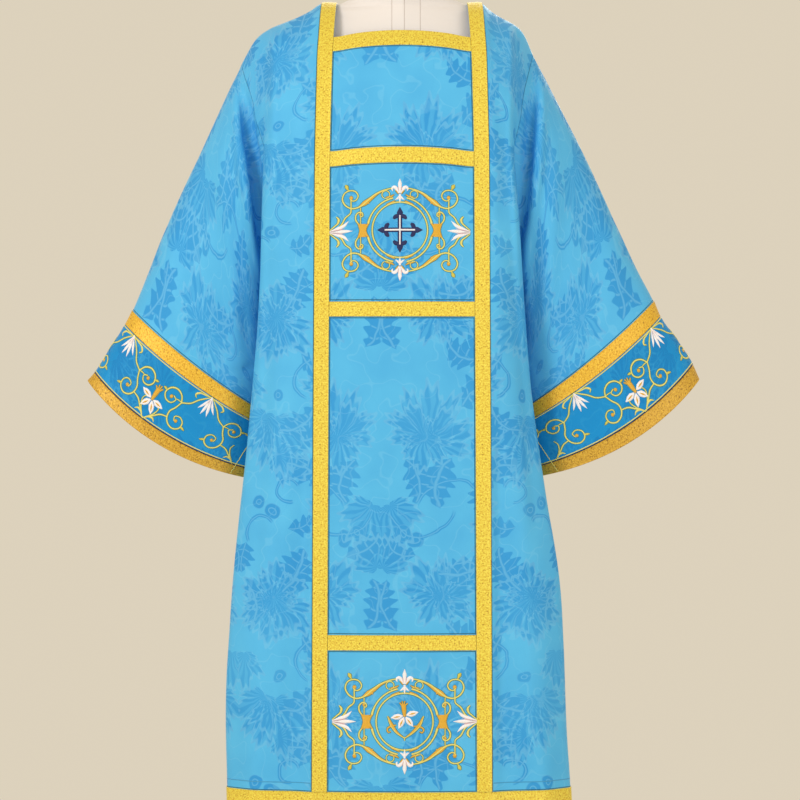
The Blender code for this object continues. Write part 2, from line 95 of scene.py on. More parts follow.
# Bilinear reading of a fine surface at fractional indices; gives points and normals
def readFine(surface, lines, columns):
    points, normals = surface["points"], surface["normals"]
    i = np.clip(lines.astype(int), 0, points.shape[0] - 2)
    j = np.clip(columns.astype(int), 0, points.shape[1] - 2)
    s, t = (lines - i)[..., None], (columns - j)[..., None]

    def mixed(grid):
        upper = grid[i, j] * (1 - t) + grid[i, j + 1] * t
        lower = grid[i + 1, j] * (1 - t) + grid[i + 1, j + 1] * t
        return upper * (1 - s) + lower * s

    lean = mixed(normals)
    return mixed(points), lean / np.linalg.norm(lean, axis=-1, keepdims=True)


# The fine surface's indices of places in its control grid
def fineIndex(places, wanted):
    return np.interp(wanted, places, np.arange(len(places)))


# Soft folds: each is a path in x and z, with a width and a height, fading at its ends
def foldRelief(points, folds):
    flat = points[..., [0, 2]] - [poleX, 0]
    total = np.zeros(points.shape[:2])
    for path, width, height in folds:
        path = np.array(path, float)
        pieces = np.linalg.norm(np.diff(path, axis=0), axis=1)
        starts = np.concatenate([[0], np.cumsum(pieces)])
        nearest = np.full(points.shape[:2], 9.0)
        along = np.zeros(points.shape[:2])
        for a, b, start, length in zip(path, path[1:], starts, pieces):
            t = np.clip(((flat - a) @ (b - a)) / length**2, 0, 1)
            far = np.linalg.norm(flat - a - t[..., None] * (b - a), axis=2)
            closer = far < nearest
            nearest = np.where(closer, far, nearest)
            along = np.where(closer, (start + t * length) / starts[-1], along)
        fade = np.clip(np.minimum(along, 1 - along) / 0.28, 0, 1)
        total += height * np.exp(-(nearest / width)**2) * fade**2 * (3 - 2 * fade)
    return total


def easeIn(x):
    x = np.clip(x, 0, 1)
    return x * x * (3 - 2 * x)


# The body: front and back as one grid, from the front hem over the shoulder to the back hem

body = {
    # frontZ frontY backZ backY foldY foldL foldR edgeY edgeL edgeR edgeZL edgeZR, from the shoulder down
    "shoulderRows": [
        (1.445, 0.0002, 1.445, 0.0002, 0.0002, 0.2, 0.168, 0.0002, 0.239, 0.196, 1.356, 1.368),
        (1.434, 0.03, 1.437, 0.03, 0.0235, 0.2, 0.168, 0.02, 0.2375, 0.1915, 1.345, 1.351),
        (1.414, 0.054, 1.425, 0.054, 0.043, 0.2, 0.168, 0.035, 0.233, 0.1865, 1.33, 1.331),
        (1.385, 0.076, 1.408, 0.074, 0.059, 0.199, 0.168, 0.048, 0.226, 0.1815, 1.31, 1.311),
        (1.363, 0.088, 1.386, 0.088, 0.07, 0.199, 0.167, 0.058, 0.22, 0.178, 1.291, 1.291),
        (1.325, 0.102, 1.34, 0.1, 0.082, 0.199, 0.166, 0.068, 0.2165, 0.175, 1.269, 1.269),
        (1.285, 0.112, 1.295, 0.108, 0.09, 0.199, 0.164, 0.075, 0.21, 0.17, 1.247, 1.247),
        (1.25, 0.118, 1.252, 0.112, 0.094, 0.2, 0.1625, 0.079, 0.203, 0.164, 1.224, 1.224),
        (1.2135, 0.121, 1.2135, 0.114, 0.095, 0.2005, 0.163, 0.078, 0.1975, 0.159, 1.2, 1.2),
        (1.191, 0.1225, 1.191, 0.114, 0.095, 0.202, 0.165, 0.074, 0.1935, 0.156, 1.176, 1.176),
        (1.15, 0.123, 1.15, 0.114, 0.094, 0.2035, 0.169, 0.064, 0.19, 0.155, 1.142, 1.142),
        (1.11, 0.123, 1.11, 0.113, 0.092, 0.205, 0.172, 0.047, 0.188, 0.1555, 1.105, 1.105),
        (1.075, 0.123, 1.075, 0.112, 0.09, 0.206, 0.174, 0.024, 0.187, 0.157, 1.072, 1.072),
        (1.045, 0.123, 1.045, 0.111, 0.088, 0.2065, 0.1755, 0.0002, 0.187, 0.158, 1.045, 1.045)],
    # z frontY backY foldY foldL foldR, and how far the side seam lies inside the fold
    "skirtRows": [
        (0.9945, 0.1235, 0.11, 0.084, 0.2095, 0.1785, 0.02),
        (0.9725, 0.1235, 0.11, 0.083, 0.211, 0.18, 0.021),
        (0.92, 0.1235, 0.109, 0.081, 0.2155, 0.1845, 0.023),
        (0.86, 0.1235, 0.108, 0.079, 0.221, 0.191, 0.025),
        (0.8, 0.1235, 0.108, 0.077, 0.2265, 0.199, 0.026),
        (0.74, 0.1235, 0.108, 0.076, 0.2325, 0.2075, 0.026),
        (0.69, 0.1235, 0.108, 0.075, 0.238, 0.215, 0.022),
        (0.64, 0.123, 0.108, 0.075, 0.243, 0.2235, 0.016),
        (0.59, 0.123, 0.108, 0.075, 0.2475, 0.2305, 0.012),
        (0.55, 0.123, 0.108, 0.0745, 0.2505, 0.234, 0.01),
        (0.5085, 0.123, 0.108, 0.074, 0.253, 0.236, 0.009),
        (0.486, 0.123, 0.108, 0.074, 0.2545, 0.237, 0.008),
        (0.44, 0.1225, 0.108, 0.073, 0.257, 0.2385, 0.006),
        (0.39, 0.122, 0.108, 0.072, 0.258, 0.24, 0.005),
        (0.34, 0.1215, 0.1075, 0.07, 0.2575, 0.2425, 0.004),
        (0.305, 0.121, 0.1075, 0.069, 0.2565, 0.245, 0.004),
        (0.2795, 0.121, 0.107, 0.068, 0.256, 0.2465, 0.004),
        (0.257, 0.1205, 0.107, 0.067, 0.2555, 0.2475, 0.004)],
    "arch": ([0, 3, 4, 6, 9, 13, 14], [0.004, 0.01, 0.009, 0.008, 0.006, 0.002, 0.0]),
    "bow": 0.006,  # the middle stands this far before the galloons
    "galloonEdge": ([0.257, 0.84, 1.21, 1.36, 1.445], [0.1095, 0.107, 0.105, 0.102, 0.0975]),
    "galloonWidth": 0.022,
    "flatShares": (0.22, 0.45, 0.68, 0.89),
    "flutes": (0.9, 0.35, -0.6, -0.3),
    "fluteDepth": 0.009,
    "fluteTop": 1.0,
    "foldLead": 0.01,
    "underarm": 13,
    "ridge": 31,  # line of the joined grid that runs along the shoulder
    "repeatZ": 0.76,  # height where a repeat of the damask begins on the front
    "backShift": 0.08,  # how much lower the damask lies on the back
    "middleShift": (0.031, 0.115),  # of the middle panel's damask, across and down
    # long soft creases of the front: the troughs beside the galloons and the swells outside them
    "frontFolds": [
        ([(-0.143, 0.86), (-0.145, 0.66), (-0.147, 0.45), (-0.149, 0.24)], 0.01, -0.004),
        ([(0.141, 0.88), (0.143, 0.66), (0.146, 0.45), (0.149, 0.24)], 0.009, -0.0036),
        ([(-0.166, 0.8), (-0.172, 0.6), (-0.18, 0.42), (-0.186, 0.26)], 0.013, 0.003),
        ([(-0.196, 0.98), (-0.204, 0.78), (-0.214, 0.6), (-0.222, 0.44)], 0.011, -0.0022),
        ([(0.168, 0.76), (0.178, 0.58), (0.186, 0.42), (0.192, 0.27)], 0.013, 0.003),
        ([(0.176, 0.96), (0.186, 0.78), (0.2, 0.62)], 0.009, -0.002),
        ([(-0.152, 1.33), (-0.16, 1.22), (-0.158, 1.08), (-0.152, 0.94)], 0.012, -0.0022),
        ([(-0.182, 1.28), (-0.186, 1.16), (-0.184, 1.02)], 0.009, 0.0018),
        ([(-0.198, 1.31), (-0.198, 1.2), (-0.201, 1.08), (-0.206, 0.94), (-0.216, 0.8)], 0.005, 0.0034),
        ([(0.165, 1.31), (0.16, 1.2), (0.168, 1.08), (0.178, 0.94), (0.194, 0.8)], 0.005, 0.0034),
        ([(0.14, 1.32), (0.148, 1.2), (0.146, 1.06)], 0.01, -0.0018),
        ([(-0.04, 0.86), (-0.052, 0.72), (-0.046, 0.58)], 0.026, 0.0016),
        ([(0.05, 0.9), (0.06, 0.76), (0.054, 0.6)], 0.024, -0.0014),
        ([(-0.07, 1.335), (-0.02, 1.29), (0.05, 1.262)], 0.013, -0.0012)],
    # the same kind on the back, which the photograph doesn't show
    "backFolds": [
        ([(-0.15, 0.84), (-0.152, 0.62), (-0.156, 0.42), (-0.16, 0.25)], 0.012, -0.004),
        ([(0.146, 0.9), (0.15, 0.68), (0.154, 0.46), (0.158, 0.26)], 0.011, -0.0038),
        ([(-0.184, 0.9), (-0.192, 0.7), (-0.2, 0.48), (-0.206, 0.28)], 0.013, 0.003),
        ([(0.176, 0.86), (0.186, 0.66), (0.196, 0.46), (0.202, 0.28)], 0.013, 0.0028),
        ([(-0.16, 1.34), (-0.164, 1.2), (-0.158, 1.04)], 0.012, -0.0022),
        ([(0.146, 1.34), (0.15, 1.2), (0.148, 1.04)], 0.011, -0.002)],
}
leftOuter, leftInner, rightInner, rightOuter, lastColumn = 7, 8, 14, 15, 22  # columns of the galloons' edges
ridge = body["ridge"]
lastLine = 2 * ridge
hemZ = body["skirtRows"][-1][0]
sewnThick = 0.001  # of galloons and cuff bands


def bodyRows():
    rows = list(body["shoulderRows"])
    for z, frontY, backY, foldY, foldL, foldR, tuck in body["skirtRows"]:
        rows.append((z, frontY, z, backY, foldY, foldL, foldR, seam / 2, foldL - tuck, foldR - tuck, z, z))
    return rows


# Half of a row, from the galloon's inner edge out to the side edge, with x counted outwards
def halfRow(row, front, left):
    frontZ, frontY, backZ, backY, foldY, foldL, foldR, edgeY, edgeL, edgeR, edgeZL, edgeZR = row
    z, y = (frontZ, frontY) if front else (backZ, backY)
    foldX, edgeX, edgeZ = (foldL, edgeL, edgeZL) if left else (foldR, edgeR, edgeZR)
    inner = np.interp(z, *body["galloonEdge"])
    outer = inner + body["galloonWidth"]
    fluted = body["fluteDepth"] * max(0.0, (body["fluteTop"] - z) / (body["fluteTop"] - hemZ))
    leadY = foldY + min(body["foldLead"], y - foldY)
    points = [[inner, y, z], [outer, y, z]]
    for share, flute in zip(body["flatShares"], body["flutes"]):
        deep = y + (leadY - y) * (share / body["flatShares"][-1])**1.8 - fluted * flute
        points.append([outer + (foldX - outer) * share, deep, z])
    points += [[foldX, foldY, z], [(foldX + edgeX) / 2, (foldY + edgeY) / 2, z], [edgeX, edgeY, z]]
    for n in range(2, len(points)):
        share = n / (len(points) - 1) if edgeX < foldX else (points[n][0] - outer) / (edgeX - outer)
        points[n][2] = z + (edgeZ - z) * (0.95 * share - 0.6 * share**2 + 0.65 * share**5.5)
    return np.array(points)


def bodyGrid(front):
    side = -1.0 if front else 1.0
    grid = []
    for index, row in enumerate(bodyRows()):
        left = halfRow(row, front, True)[::-1] * [-1, side, 1]
        right = halfRow(row, front, False) * [1, side, 1]
        rise = np.interp(index, *body["arch"])
        middle = []
        for share in (-0.66, -0.33, 0.0, 0.33, 0.66):
            crown = 1 - share**2
            y = (row[1] if front else row[3]) + body["bow"] * crown * min(1.0, index / 4)
            middle.append([right[0][0] * share, side * y, right[0][2] + rise * crown])
        grid.append(np.concatenate([left, middle, right]))
    return np.array(grid)


def bodySurface():
    front, back = bodyGrid(True), bodyGrid(False)
    control = np.concatenate([front[:0:-1], (front[:1] + back[:1]) / 2, back[1:]])
    control[..., 0] += poleX
    lines = finePlaces(control, 0, cell)
    split = 0.005  # half of the gap between front and back, in lines
    lines = np.concatenate([lines[lines < ridge], [ridge - split, ridge + split], lines[lines > ridge]])
    columns = finePlaces(control, 1, cell)
    points = readBetween(readBetween(control, lines, 0), columns, 1)
    normals = -gridNormals(points)
    # folds fade towards the shoulder, the sides and the middle of the armhole's edge
    fade = easeIn(np.minimum(columns, lastColumn - columns) / 2.0)[None]
    fade = fade * easeIn(np.abs(lines - ridge) / 5)[:, None]
    isFront = (lines < ridge)[:, None]
    relief = np.where(isFront, foldRelief(points, body["frontFolds"]), foldRelief(points, body["backFolds"]))
    points = points + normals * (relief * fade)[..., None]
    normals = -gridNormals(points)
    # normals turned level where front and back meet, so that neither wall crosses the joint
    level = np.zeros(points.shape[:2], bool)
    level[np.abs(lines - ridge) < 0.01] = True
    level[np.ix_(np.abs(lines - ridge) >= body["underarm"], [0, -1])] = True
    normals[level, 1] = 0
    normals /= np.linalg.norm(normals, axis=2, keepdims=True)
    centre = int(np.argmin(np.abs(columns - lastColumn / 2)))
    across = lengths(points, 1)
    across = across - across[:, centre:centre + 1]
    down = lengths(points, 0)[:, centre]
    # the middle panel is cut from another part of the damask; the joint lies under the galloons
    inside = (columns > leftOuter + 0.5) & (columns < rightInner + 0.5)
    place = np.zeros(points.shape)
    place[..., 0] = across + np.where(inside, body["middleShift"][0], 0.0)
    galloonZ = points[:, int(np.argmin(np.abs(columns - leftOuter))), 2]
    fall = body["repeatZ"] - galloonZ + np.where(isFront[:, 0], 0.0, body["backShift"])
    place[..., 1] = fall[:, None] + np.where(inside, body["middleShift"][1], 0.0)
    return {"points": points, "normals": normals, "lines": lines, "columns": columns,
            "across": across, "down": down, "place": place, "centre": centre}


bodyCloth = bodySurface()
print("body surface", bodyCloth["points"].shape)


# The sleeves: rings from the armhole to the rim, opened at the underarm

sleeve = {
    # topLX topLZ topRX topRZ lowLX lowLZ lowRX lowRZ depth bow
    "rings": [
        (0.2465, 1.339, 0.2035, 1.353, 0.198, 1.032, 0.169, 1.032, 0.059, 0.0),
        (0.257, 1.318, 0.214, 1.333, 0.201, 1.012, 0.1735, 1.012, 0.0715, 0.0),
        (0.28, 1.268, 0.239, 1.284, 0.203, 0.98, 0.1765, 0.98, 0.069, 0.0),
        (0.306, 1.211, 0.27, 1.223, 0.2045, 0.945, 0.178, 0.945, 0.064, 0.001),
        (0.33, 1.161, 0.297, 1.166, 0.205, 0.919, 0.1785, 0.92, 0.061, 0.002),
        (0.354, 1.106, 0.326, 1.101, 0.2065, 0.893, 0.1805, 0.894, 0.058, 0.003),
        (0.379, 1.043, 0.351, 1.048, 0.2085, 0.864, 0.182, 0.866, 0.055, 0.004),
        (0.403, 0.985, 0.3765, 0.999, 0.2105, 0.835, 0.1835, 0.838, 0.052, 0.006),
        (0.4135, 0.964, 0.386, 0.976, 0.213, 0.815, 0.186, 0.818, 0.051, 0.009),
        (0.437, 0.927, 0.411, 0.941, 0.216, 0.78, 0.191, 0.784, 0.049, 0.016),
        (0.459, 0.892, 0.4345, 0.904, 0.219, 0.746, 0.196, 0.75, 0.0475, 0.022),
        (0.47, 0.8795, 0.4445, 0.8815, 0.222, 0.733, 0.199, 0.736, 0.046, 0.026)],
    # creases by side and face: the valley beside the armhole, soft falls, and wrinkles over the inner corner
    "leftFront": [
        ([(-0.232, 1.325), (-0.23, 1.262), (-0.221, 1.19), (-0.206, 1.11), (-0.202, 1.04)], 0.008, -0.01),
        ([(-0.231, 1.32), (-0.223, 1.262), (-0.215, 1.2), (-0.209, 1.12)], 0.005, -0.006),
        ([(-0.236, 1.24), (-0.231, 1.18), (-0.223, 1.1)], 0.005, 0.004),
        ([(-0.243, 1.34), (-0.243, 1.28), (-0.238, 1.2), (-0.226, 1.11)], 0.007, 0.005),
        ([(-0.262, 1.26), (-0.262, 1.16), (-0.25, 1.06), (-0.236, 0.93)], 0.015, 0.005),
        ([(-0.246, 1.15), (-0.24, 1.04), (-0.228, 0.9)], 0.01, -0.0045),
        ([(-0.3, 1.19), (-0.31, 1.08), (-0.304, 0.96)], 0.02, -0.0035),
        ([(-0.34, 1.11), (-0.352, 1.03), (-0.35, 0.95)], 0.017, 0.0026),
        ([(-0.214, 0.905), (-0.238, 0.892), (-0.262, 0.896)], 0.008, -0.003),
        ([(-0.216, 0.868), (-0.24, 0.872), (-0.266, 0.884)], 0.007, 0.0022)],
    "rightFront": [
        ([(0.192, 1.335), (0.191, 1.29), (0.186, 1.206), (0.177, 1.13), (0.173, 1.05)], 0.007, -0.0045),
        ([(0.204, 1.345), (0.206, 1.28), (0.202, 1.2), (0.192, 1.11)], 0.007, 0.0046),
        ([(0.222, 1.27), (0.226, 1.17), (0.22, 1.06), (0.208, 0.93)], 0.014, 0.0048),
        ([(0.181, 1.13), (0.185, 1.04), (0.19, 0.94)], 0.01, 0.004),
        ([(0.262, 1.2), (0.278, 1.08), (0.276, 0.96)], 0.02, -0.0034),
        ([(0.306, 1.12), (0.322, 1.03), (0.322, 0.96)], 0.017, 0.0024),
        ([(0.186, 0.908), (0.21, 0.892), (0.234, 0.898)], 0.008, -0.0028)],
    "leftBack": [
        ([(-0.238, 1.31), (-0.236, 1.24), (-0.222, 1.15)], 0.012, -0.005),
        ([(-0.268, 1.25), (-0.27, 1.13), (-0.256, 1.0)], 0.016, 0.0045),
        ([(-0.31, 1.18), (-0.324, 1.06), (-0.318, 0.95)], 0.02, -0.0034)],
    "rightBack": [
        ([(0.196, 1.32), (0.196, 1.25), (0.186, 1.16)], 0.012, -0.005),
        ([(0.228, 1.26), (0.236, 1.13), (0.226, 1.0)], 0.016, 0.0045),
        ([(0.27, 1.19), (0.29, 1.06), (0.288, 0.96)], 0.02, -0.0034)],
    "cuffUpper": (8, 9),  # ring numbers, with the armhole as ring 0
    "cuffBand": (9, 11),
    "cuffLower": (11, 12),
}


# Points of the panels' armhole edge, fine, from the top (line 0) down to the underarm
def armholeEdge(front, left):
    column = 0 if left else -1
    before = 1 if left else -2
    lines, points = bodyCloth["lines"], bodyCloth["points"]
    within = np.abs(lines - ridge) <= body["underarm"]
    rows = np.flatnonzero(within & (lines < ridge if front else lines > ridge))
    rows = rows[::-1] if front else rows
    return points[rows, column], points[rows, before], np.abs(lines[rows] - ridge)


def sleeveSurface(left):
    sign = -1.0 if left else 1.0
    rounds = body["underarm"]
    edges = bodyRows()
    heights = np.array([row[10] if left else row[11] for row in edges[:rounds + 1]])
    own = np.arccos(np.clip(2 * (heights - heights[-1]) / (heights[0] - heights[-1]) - 1, -1, 1))
    steps = [(n, -1) for n in range(rounds, 0, -1)] + [(n, 1) for n in range(rounds + 1)]
    rings = []
    for number, ring in enumerate(sleeve["rings"]):
        (topX, topZ), (lowX, lowZ) = (ring[:2], ring[4:6]) if left else (ring[2:4], ring[6:8])
        top, low = np.array([sign * topX, 0, topZ]), np.array([sign * lowX, 0, lowZ])
        across = top - low
        reach = np.array([across[2] * sign, 0, -across[0] * sign]) / np.linalg.norm(across)
        even = min(1.0, (number + 1) / 5)
        line = []
        for n, face in steps:
            angle = own[n] + (math.pi * n / rounds - own[n]) * even
            place = low + across * (1 + math.cos(angle)) / 2 + reach * ring[9] * math.sin(angle)**2
            line.append(place + [0, face * ring[8] * math.sin(angle), 0])
        rings.append(line)
    rings = np.array(rings)
    rings[..., 0] += poleX
    # fine columns follow the panels' own fine rows, so that the armhole's two sides match
    frontEdge, frontBefore, frontRows = armholeEdge(True, left)
    backEdge, backBefore, backRows = armholeEdge(False, left)
    columns = np.concatenate([rounds - frontRows[::-1], rounds + backRows])
    columns[0], columns[-1] = 0.0, 2 * rounds
    padded = np.concatenate([rings[:, -4:-1], rings, rings[:, 1:4]], axis=1)
    fine = readBetween(padded, columns + 3, 1)
    edge = np.concatenate([frontEdge[::-1], backEdge])
    before = np.concatenate([frontBefore[::-1], backBefore])
    leaving = edge - before
    leaving[[0, -1]] = [sign, 0, 0.6]
    leaving /= np.linalg.norm(leaving, axis=1, keepdims=True)
    onward = fine[0] - edge
    onward /= np.linalg.norm(onward, axis=1, keepdims=True)
    armhole = edge + leaving * seam * 1.6 + onward * seam * 1.2
    armhole[[0, -1]] = armhole[[0, -1]].mean(axis=0)
    control = np.concatenate([armhole[None], fine])
    lines = finePlaces(control, 0, cell)
    points = readBetween(control, lines, 0)
    points[:, -1] = points[:, 0]
    normals = gridNormals(points) * (-1 if left else 1)
    # folds fade at the armhole, above the cuff and at the underarm
    fade = easeIn(lines / 0.5)[:, None] * easeIn((8.2 - lines) / 2.5)[:, None]
    fade = fade * easeIn(np.minimum(columns, 2 * rounds - columns) / 2.0)[None]
    name = "left" if left else "right"
    relief = np.where((columns < rounds)[None], foldRelief(points, sleeve[name + "Front"]),
                      foldRelief(points, sleeve[name + "Back"]))
    points = points + normals * (relief * fade)[..., None]
    normals = gridNormals(points) * (-1 if left else 1)
    both = normals[:, 0] + normals[:, -1]
    normals[:, 0] = normals[:, -1] = both / np.linalg.norm(both, axis=1, keepdims=True)
    top = int(np.argmin(np.abs(columns - rounds)))
    across = lengths(points, 1)
    across = across - across[:, top:top + 1]
    down = lengths(points, 0).mean(axis=1)
    place = np.zeros(points.shape)
    place[..., 0] = across + 0.06
    place[..., 1] = down[:, None] + (0.02 if left else 0.03)
    return {"points": points, "normals": normals, "lines": lines, "columns": columns,
            "across": across, "down": down, "place": place, "centre": top}


sleeveCloth = {"left": sleeveSurface(True), "right": sleeveSurface(False)}
print("sleeve surfaces", sleeveCloth["left"]["points"].shape, sleeveCloth["right"]["points"].shape)


# Meshes

sewnOn = {}


def newPiece(name, verts, faces, look, places=None, sharp=50):
    mesh = bpy.data.meshes.new(name)
    mesh.from_pydata(np.asarray(verts).tolist(), [], [tuple(int(v) for v in f) for f in faces])
    mesh.validate()
    if places is not None:
        spot = mesh.attributes.new("clothPlace", "FLOAT_VECTOR", "POINT")
        spot.data.foreach_set("vector", np.asarray(places, float).ravel())
    mesh.materials.append(look)
    mesh.shade_smooth()
    mesh.set_sharp_from_angle(angle=math.radians(sharp))
    piece = bpy.data.objects.new(name, mesh)
    bpy.context.scene.collection.objects.link(piece)
    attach(piece, "root")
    return piece


# Faces of a tube whose rings follow one another, closed at both ends
def tubeFaces(start, rings, sides):
    index = start + np.arange(rings * sides).reshape(rings, sides)
    around = np.roll(index, -1, axis=1)
    faces = np.stack([index[:-1], around[:-1], around[1:], index[1:]], axis=-1).reshape(-1, 4).tolist()
    return faces + [index[0][::-1].tolist(), index[-1].tolist()]


# A thin closed wall between two grids; keep says which cells it has
def shellPiece(name, top, under, look, places, keep=None):
    lines, columns = top.shape[:2]
    count = lines * columns
    index = np.arange(count).reshape(lines, columns)
    corners = np.stack([index[:-1, :-1], index[:-1, 1:], index[1:, 1:], index[1:, :-1]], axis=-1)
    corners = corners.reshape(-1, 4) if keep is None else corners[keep]
    edges = np.concatenate([corners[:, [k, (k + 1) % 4]] for k in range(4)])
    keys = edges.min(axis=1) * count + edges.max(axis=1)
    _, first, uses = np.unique(keys, return_index=True, return_counts=True)
    rim = edges[first[uses == 1]]
    walls = np.column_stack([rim[:, 1], rim[:, 0], rim[:, 0] + count, rim[:, 1] + count])
    faces = np.concatenate([corners, corners[:, ::-1] + count, walls])
    verts = np.concatenate([top.reshape(-1, 3), under.reshape(-1, 3)])
    spots = np.concatenate([places.reshape(-1, 3)] * 2)
    used, faces = np.unique(faces, return_inverse=True)
    faces = faces.reshape(-1, 4)
    verts, spots = verts[used], spots[used]
    a, b, c, d = (verts[faces[:, k]] for k in range(4))
    volume = np.einsum("ij,ij->i", a, np.cross(b, c)).sum() + np.einsum("ij,ij->i", a, np.cross(c, d)).sum()
    if volume < 0:
        faces = faces[:, ::-1]
    return newPiece(name, verts, faces, look, spots)


# Area of one side, and the cut's width and length, as a sheet lies flat
def flatSize(points, keep=None):
    a, b = points[1:, 1:] - points[:-1, :-1], points[1:, :-1] - points[:-1, 1:]
    areas = np.linalg.norm(np.cross(a, b), axis=2) / 2
    area = float(areas.sum() if keep is None else areas[keep].sum())
    width = float(lengths(points, 1)[:, -1].max())
    length = float(lengths(points, 0)[-1].max())
    return area, width, length


# A strip sewn on a surface, lying between control lines and columns
def sewnStrip(name, surface, lines, columns, thick, look, acrossLines):
    i = fineIndex(surface["lines"], np.asarray(lines, float))
    j = fineIndex(surface["columns"], np.asarray(columns, float))
    lineGrid, columnGrid = np.meshgrid(i, j, indexing="ij")
    points, normals = readFine(surface, lineGrid, columnGrid)
    count = len(lines) if acrossLines else len(columns)
    share = np.linspace(-1, 1, count)
    rise = thick * np.interp(np.abs(share), [0, 0.72, 0.84, 0.93, 1.0], [0.92, 1.0, 1.35, 1.3, 0.55])
    rise = rise[:, None] if acrossLines else rise[None, :]
    top = points + normals * (lift + rise)[..., None]
    under = points + normals * lift
    along = lengths(points, 1 if acrossLines else 0)
    side = lengths(points, 0 if acrossLines else 1)
    side = side - side.max(axis=0 if acrossLines else 1, keepdims=True) / 2
    places = np.stack([side, along, np.zeros_like(side)], axis=-1)
    piece = shellPiece(name, top, under, look, places)
    area, width, length = flatSize(points)
    return piece


# Shader sums: a wire is a number inside a material, and sums and products of wires add its nodes

class Wire:
    def __init__(self, tree, socket):
        self.tree, self.socket = tree, socket

    def make(self, kind, *others, clamp=False):
        made = self.tree.nodes.new("ShaderNodeMath")
        made.operation = kind
        made.use_clamp = clamp
        for spot, value in enumerate((self, *others)):
            if isinstance(value, Wire):
                self.tree.links.new(value.socket, made.inputs[spot])
            else:
                made.inputs[spot].default_value = value
        return Wire(self.tree, made.outputs[0])

    def __add__(self, other):
        return self.make("ADD", other)

    def __sub__(self, other):
        return self.make("SUBTRACT", other)

    def __mul__(self, other):
        return self.make("MULTIPLY", other)

    def __truediv__(self, other):
        return self.make("DIVIDE", other)

    def fit(self, factor, shift):
        return self.make("MULTIPLY_ADD", factor, shift)

    def over(self, low, high):
        made = self.tree.nodes.new("ShaderNodeMapRange")
        self.tree.links.new(self.socket, made.inputs["Value"])
        made.inputs["From Min"].default_value = low
        made.inputs["From Max"].default_value = high
        return Wire(self.tree, made.outputs["Result"])

    def most(self, other):
        return self.make("MAXIMUM", other)


def newLook(name, color, roughness, metallic=0.0, sheen=0.0, specular=0.5):
    look = bpy.data.materials.new(name)
    look.use_nodes = True
    tree = look.node_tree
    shader = tree.nodes["Principled BSDF"]
    shader.inputs["Base Color"].default_value = (*color, 1)
    shader.inputs["Roughness"].default_value = roughness
    shader.inputs["Metallic"].default_value = metallic
    shader.inputs["Sheen Weight"].default_value = sheen
    shader.inputs["Specular IOR Level"].default_value = specular
    return look, tree, shader


def linear(code):
    parts = [int(code[n:n + 2], 16) / 255 for n in (0, 2, 4)]
    return tuple(p / 12.92 if p <= 0.04045 else ((p + 0.055) / 1.055)**2.4 for p in parts)


def clothWires(tree):
    spot = tree.nodes.new("ShaderNodeAttribute")
    spot.attribute_name = "clothPlace"
    apart = tree.nodes.new("ShaderNodeSeparateXYZ")
    tree.links.new(spot.outputs["Vector"], apart.inputs[0])
    return spot.outputs["Vector"], Wire(tree, apart.outputs[0]), Wire(tree, apart.outputs[1])


def noiseWire(tree, vector, scale, detail=2.0, stretch=None):
    if stretch:
        mapping = tree.nodes.new("ShaderNodeMapping")
        mapping.inputs["Scale"].default_value = stretch
        tree.links.new(vector, mapping.inputs["Vector"])
        vector = mapping.outputs["Vector"]
    noise = tree.nodes.new("ShaderNodeTexNoise")
    noise.inputs["Scale"].default_value = scale
    noise.inputs["Detail"].default_value = detail
    tree.links.new(vector, noise.inputs["Vector"])
    return Wire(tree, noise.outputs["Fac"])


def colorMix(tree, factor, first, second):
    mix = tree.nodes.new("ShaderNodeMix")
    mix.data_type = "RGBA"
    tree.links.new(factor.socket, mix.inputs["Factor"])
    for spot, value in ((6, first), (7, second)):
        if isinstance(value, tuple):
            mix.inputs[spot].default_value = (*value, 1)
        else:
            tree.links.new(value, mix.inputs[spot])
    return mix.outputs[2]


def addBump(tree, shader, height, distance, strength=1.0):
    bump = tree.nodes.new("ShaderNodeBump")
    bump.inputs["Distance"].default_value = distance
    bump.inputs["Strength"].default_value = strength
    tree.links.new(height.socket, bump.inputs["Height"])
    tree.links.new(bump.outputs["Normal"], shader.inputs["Normal"])
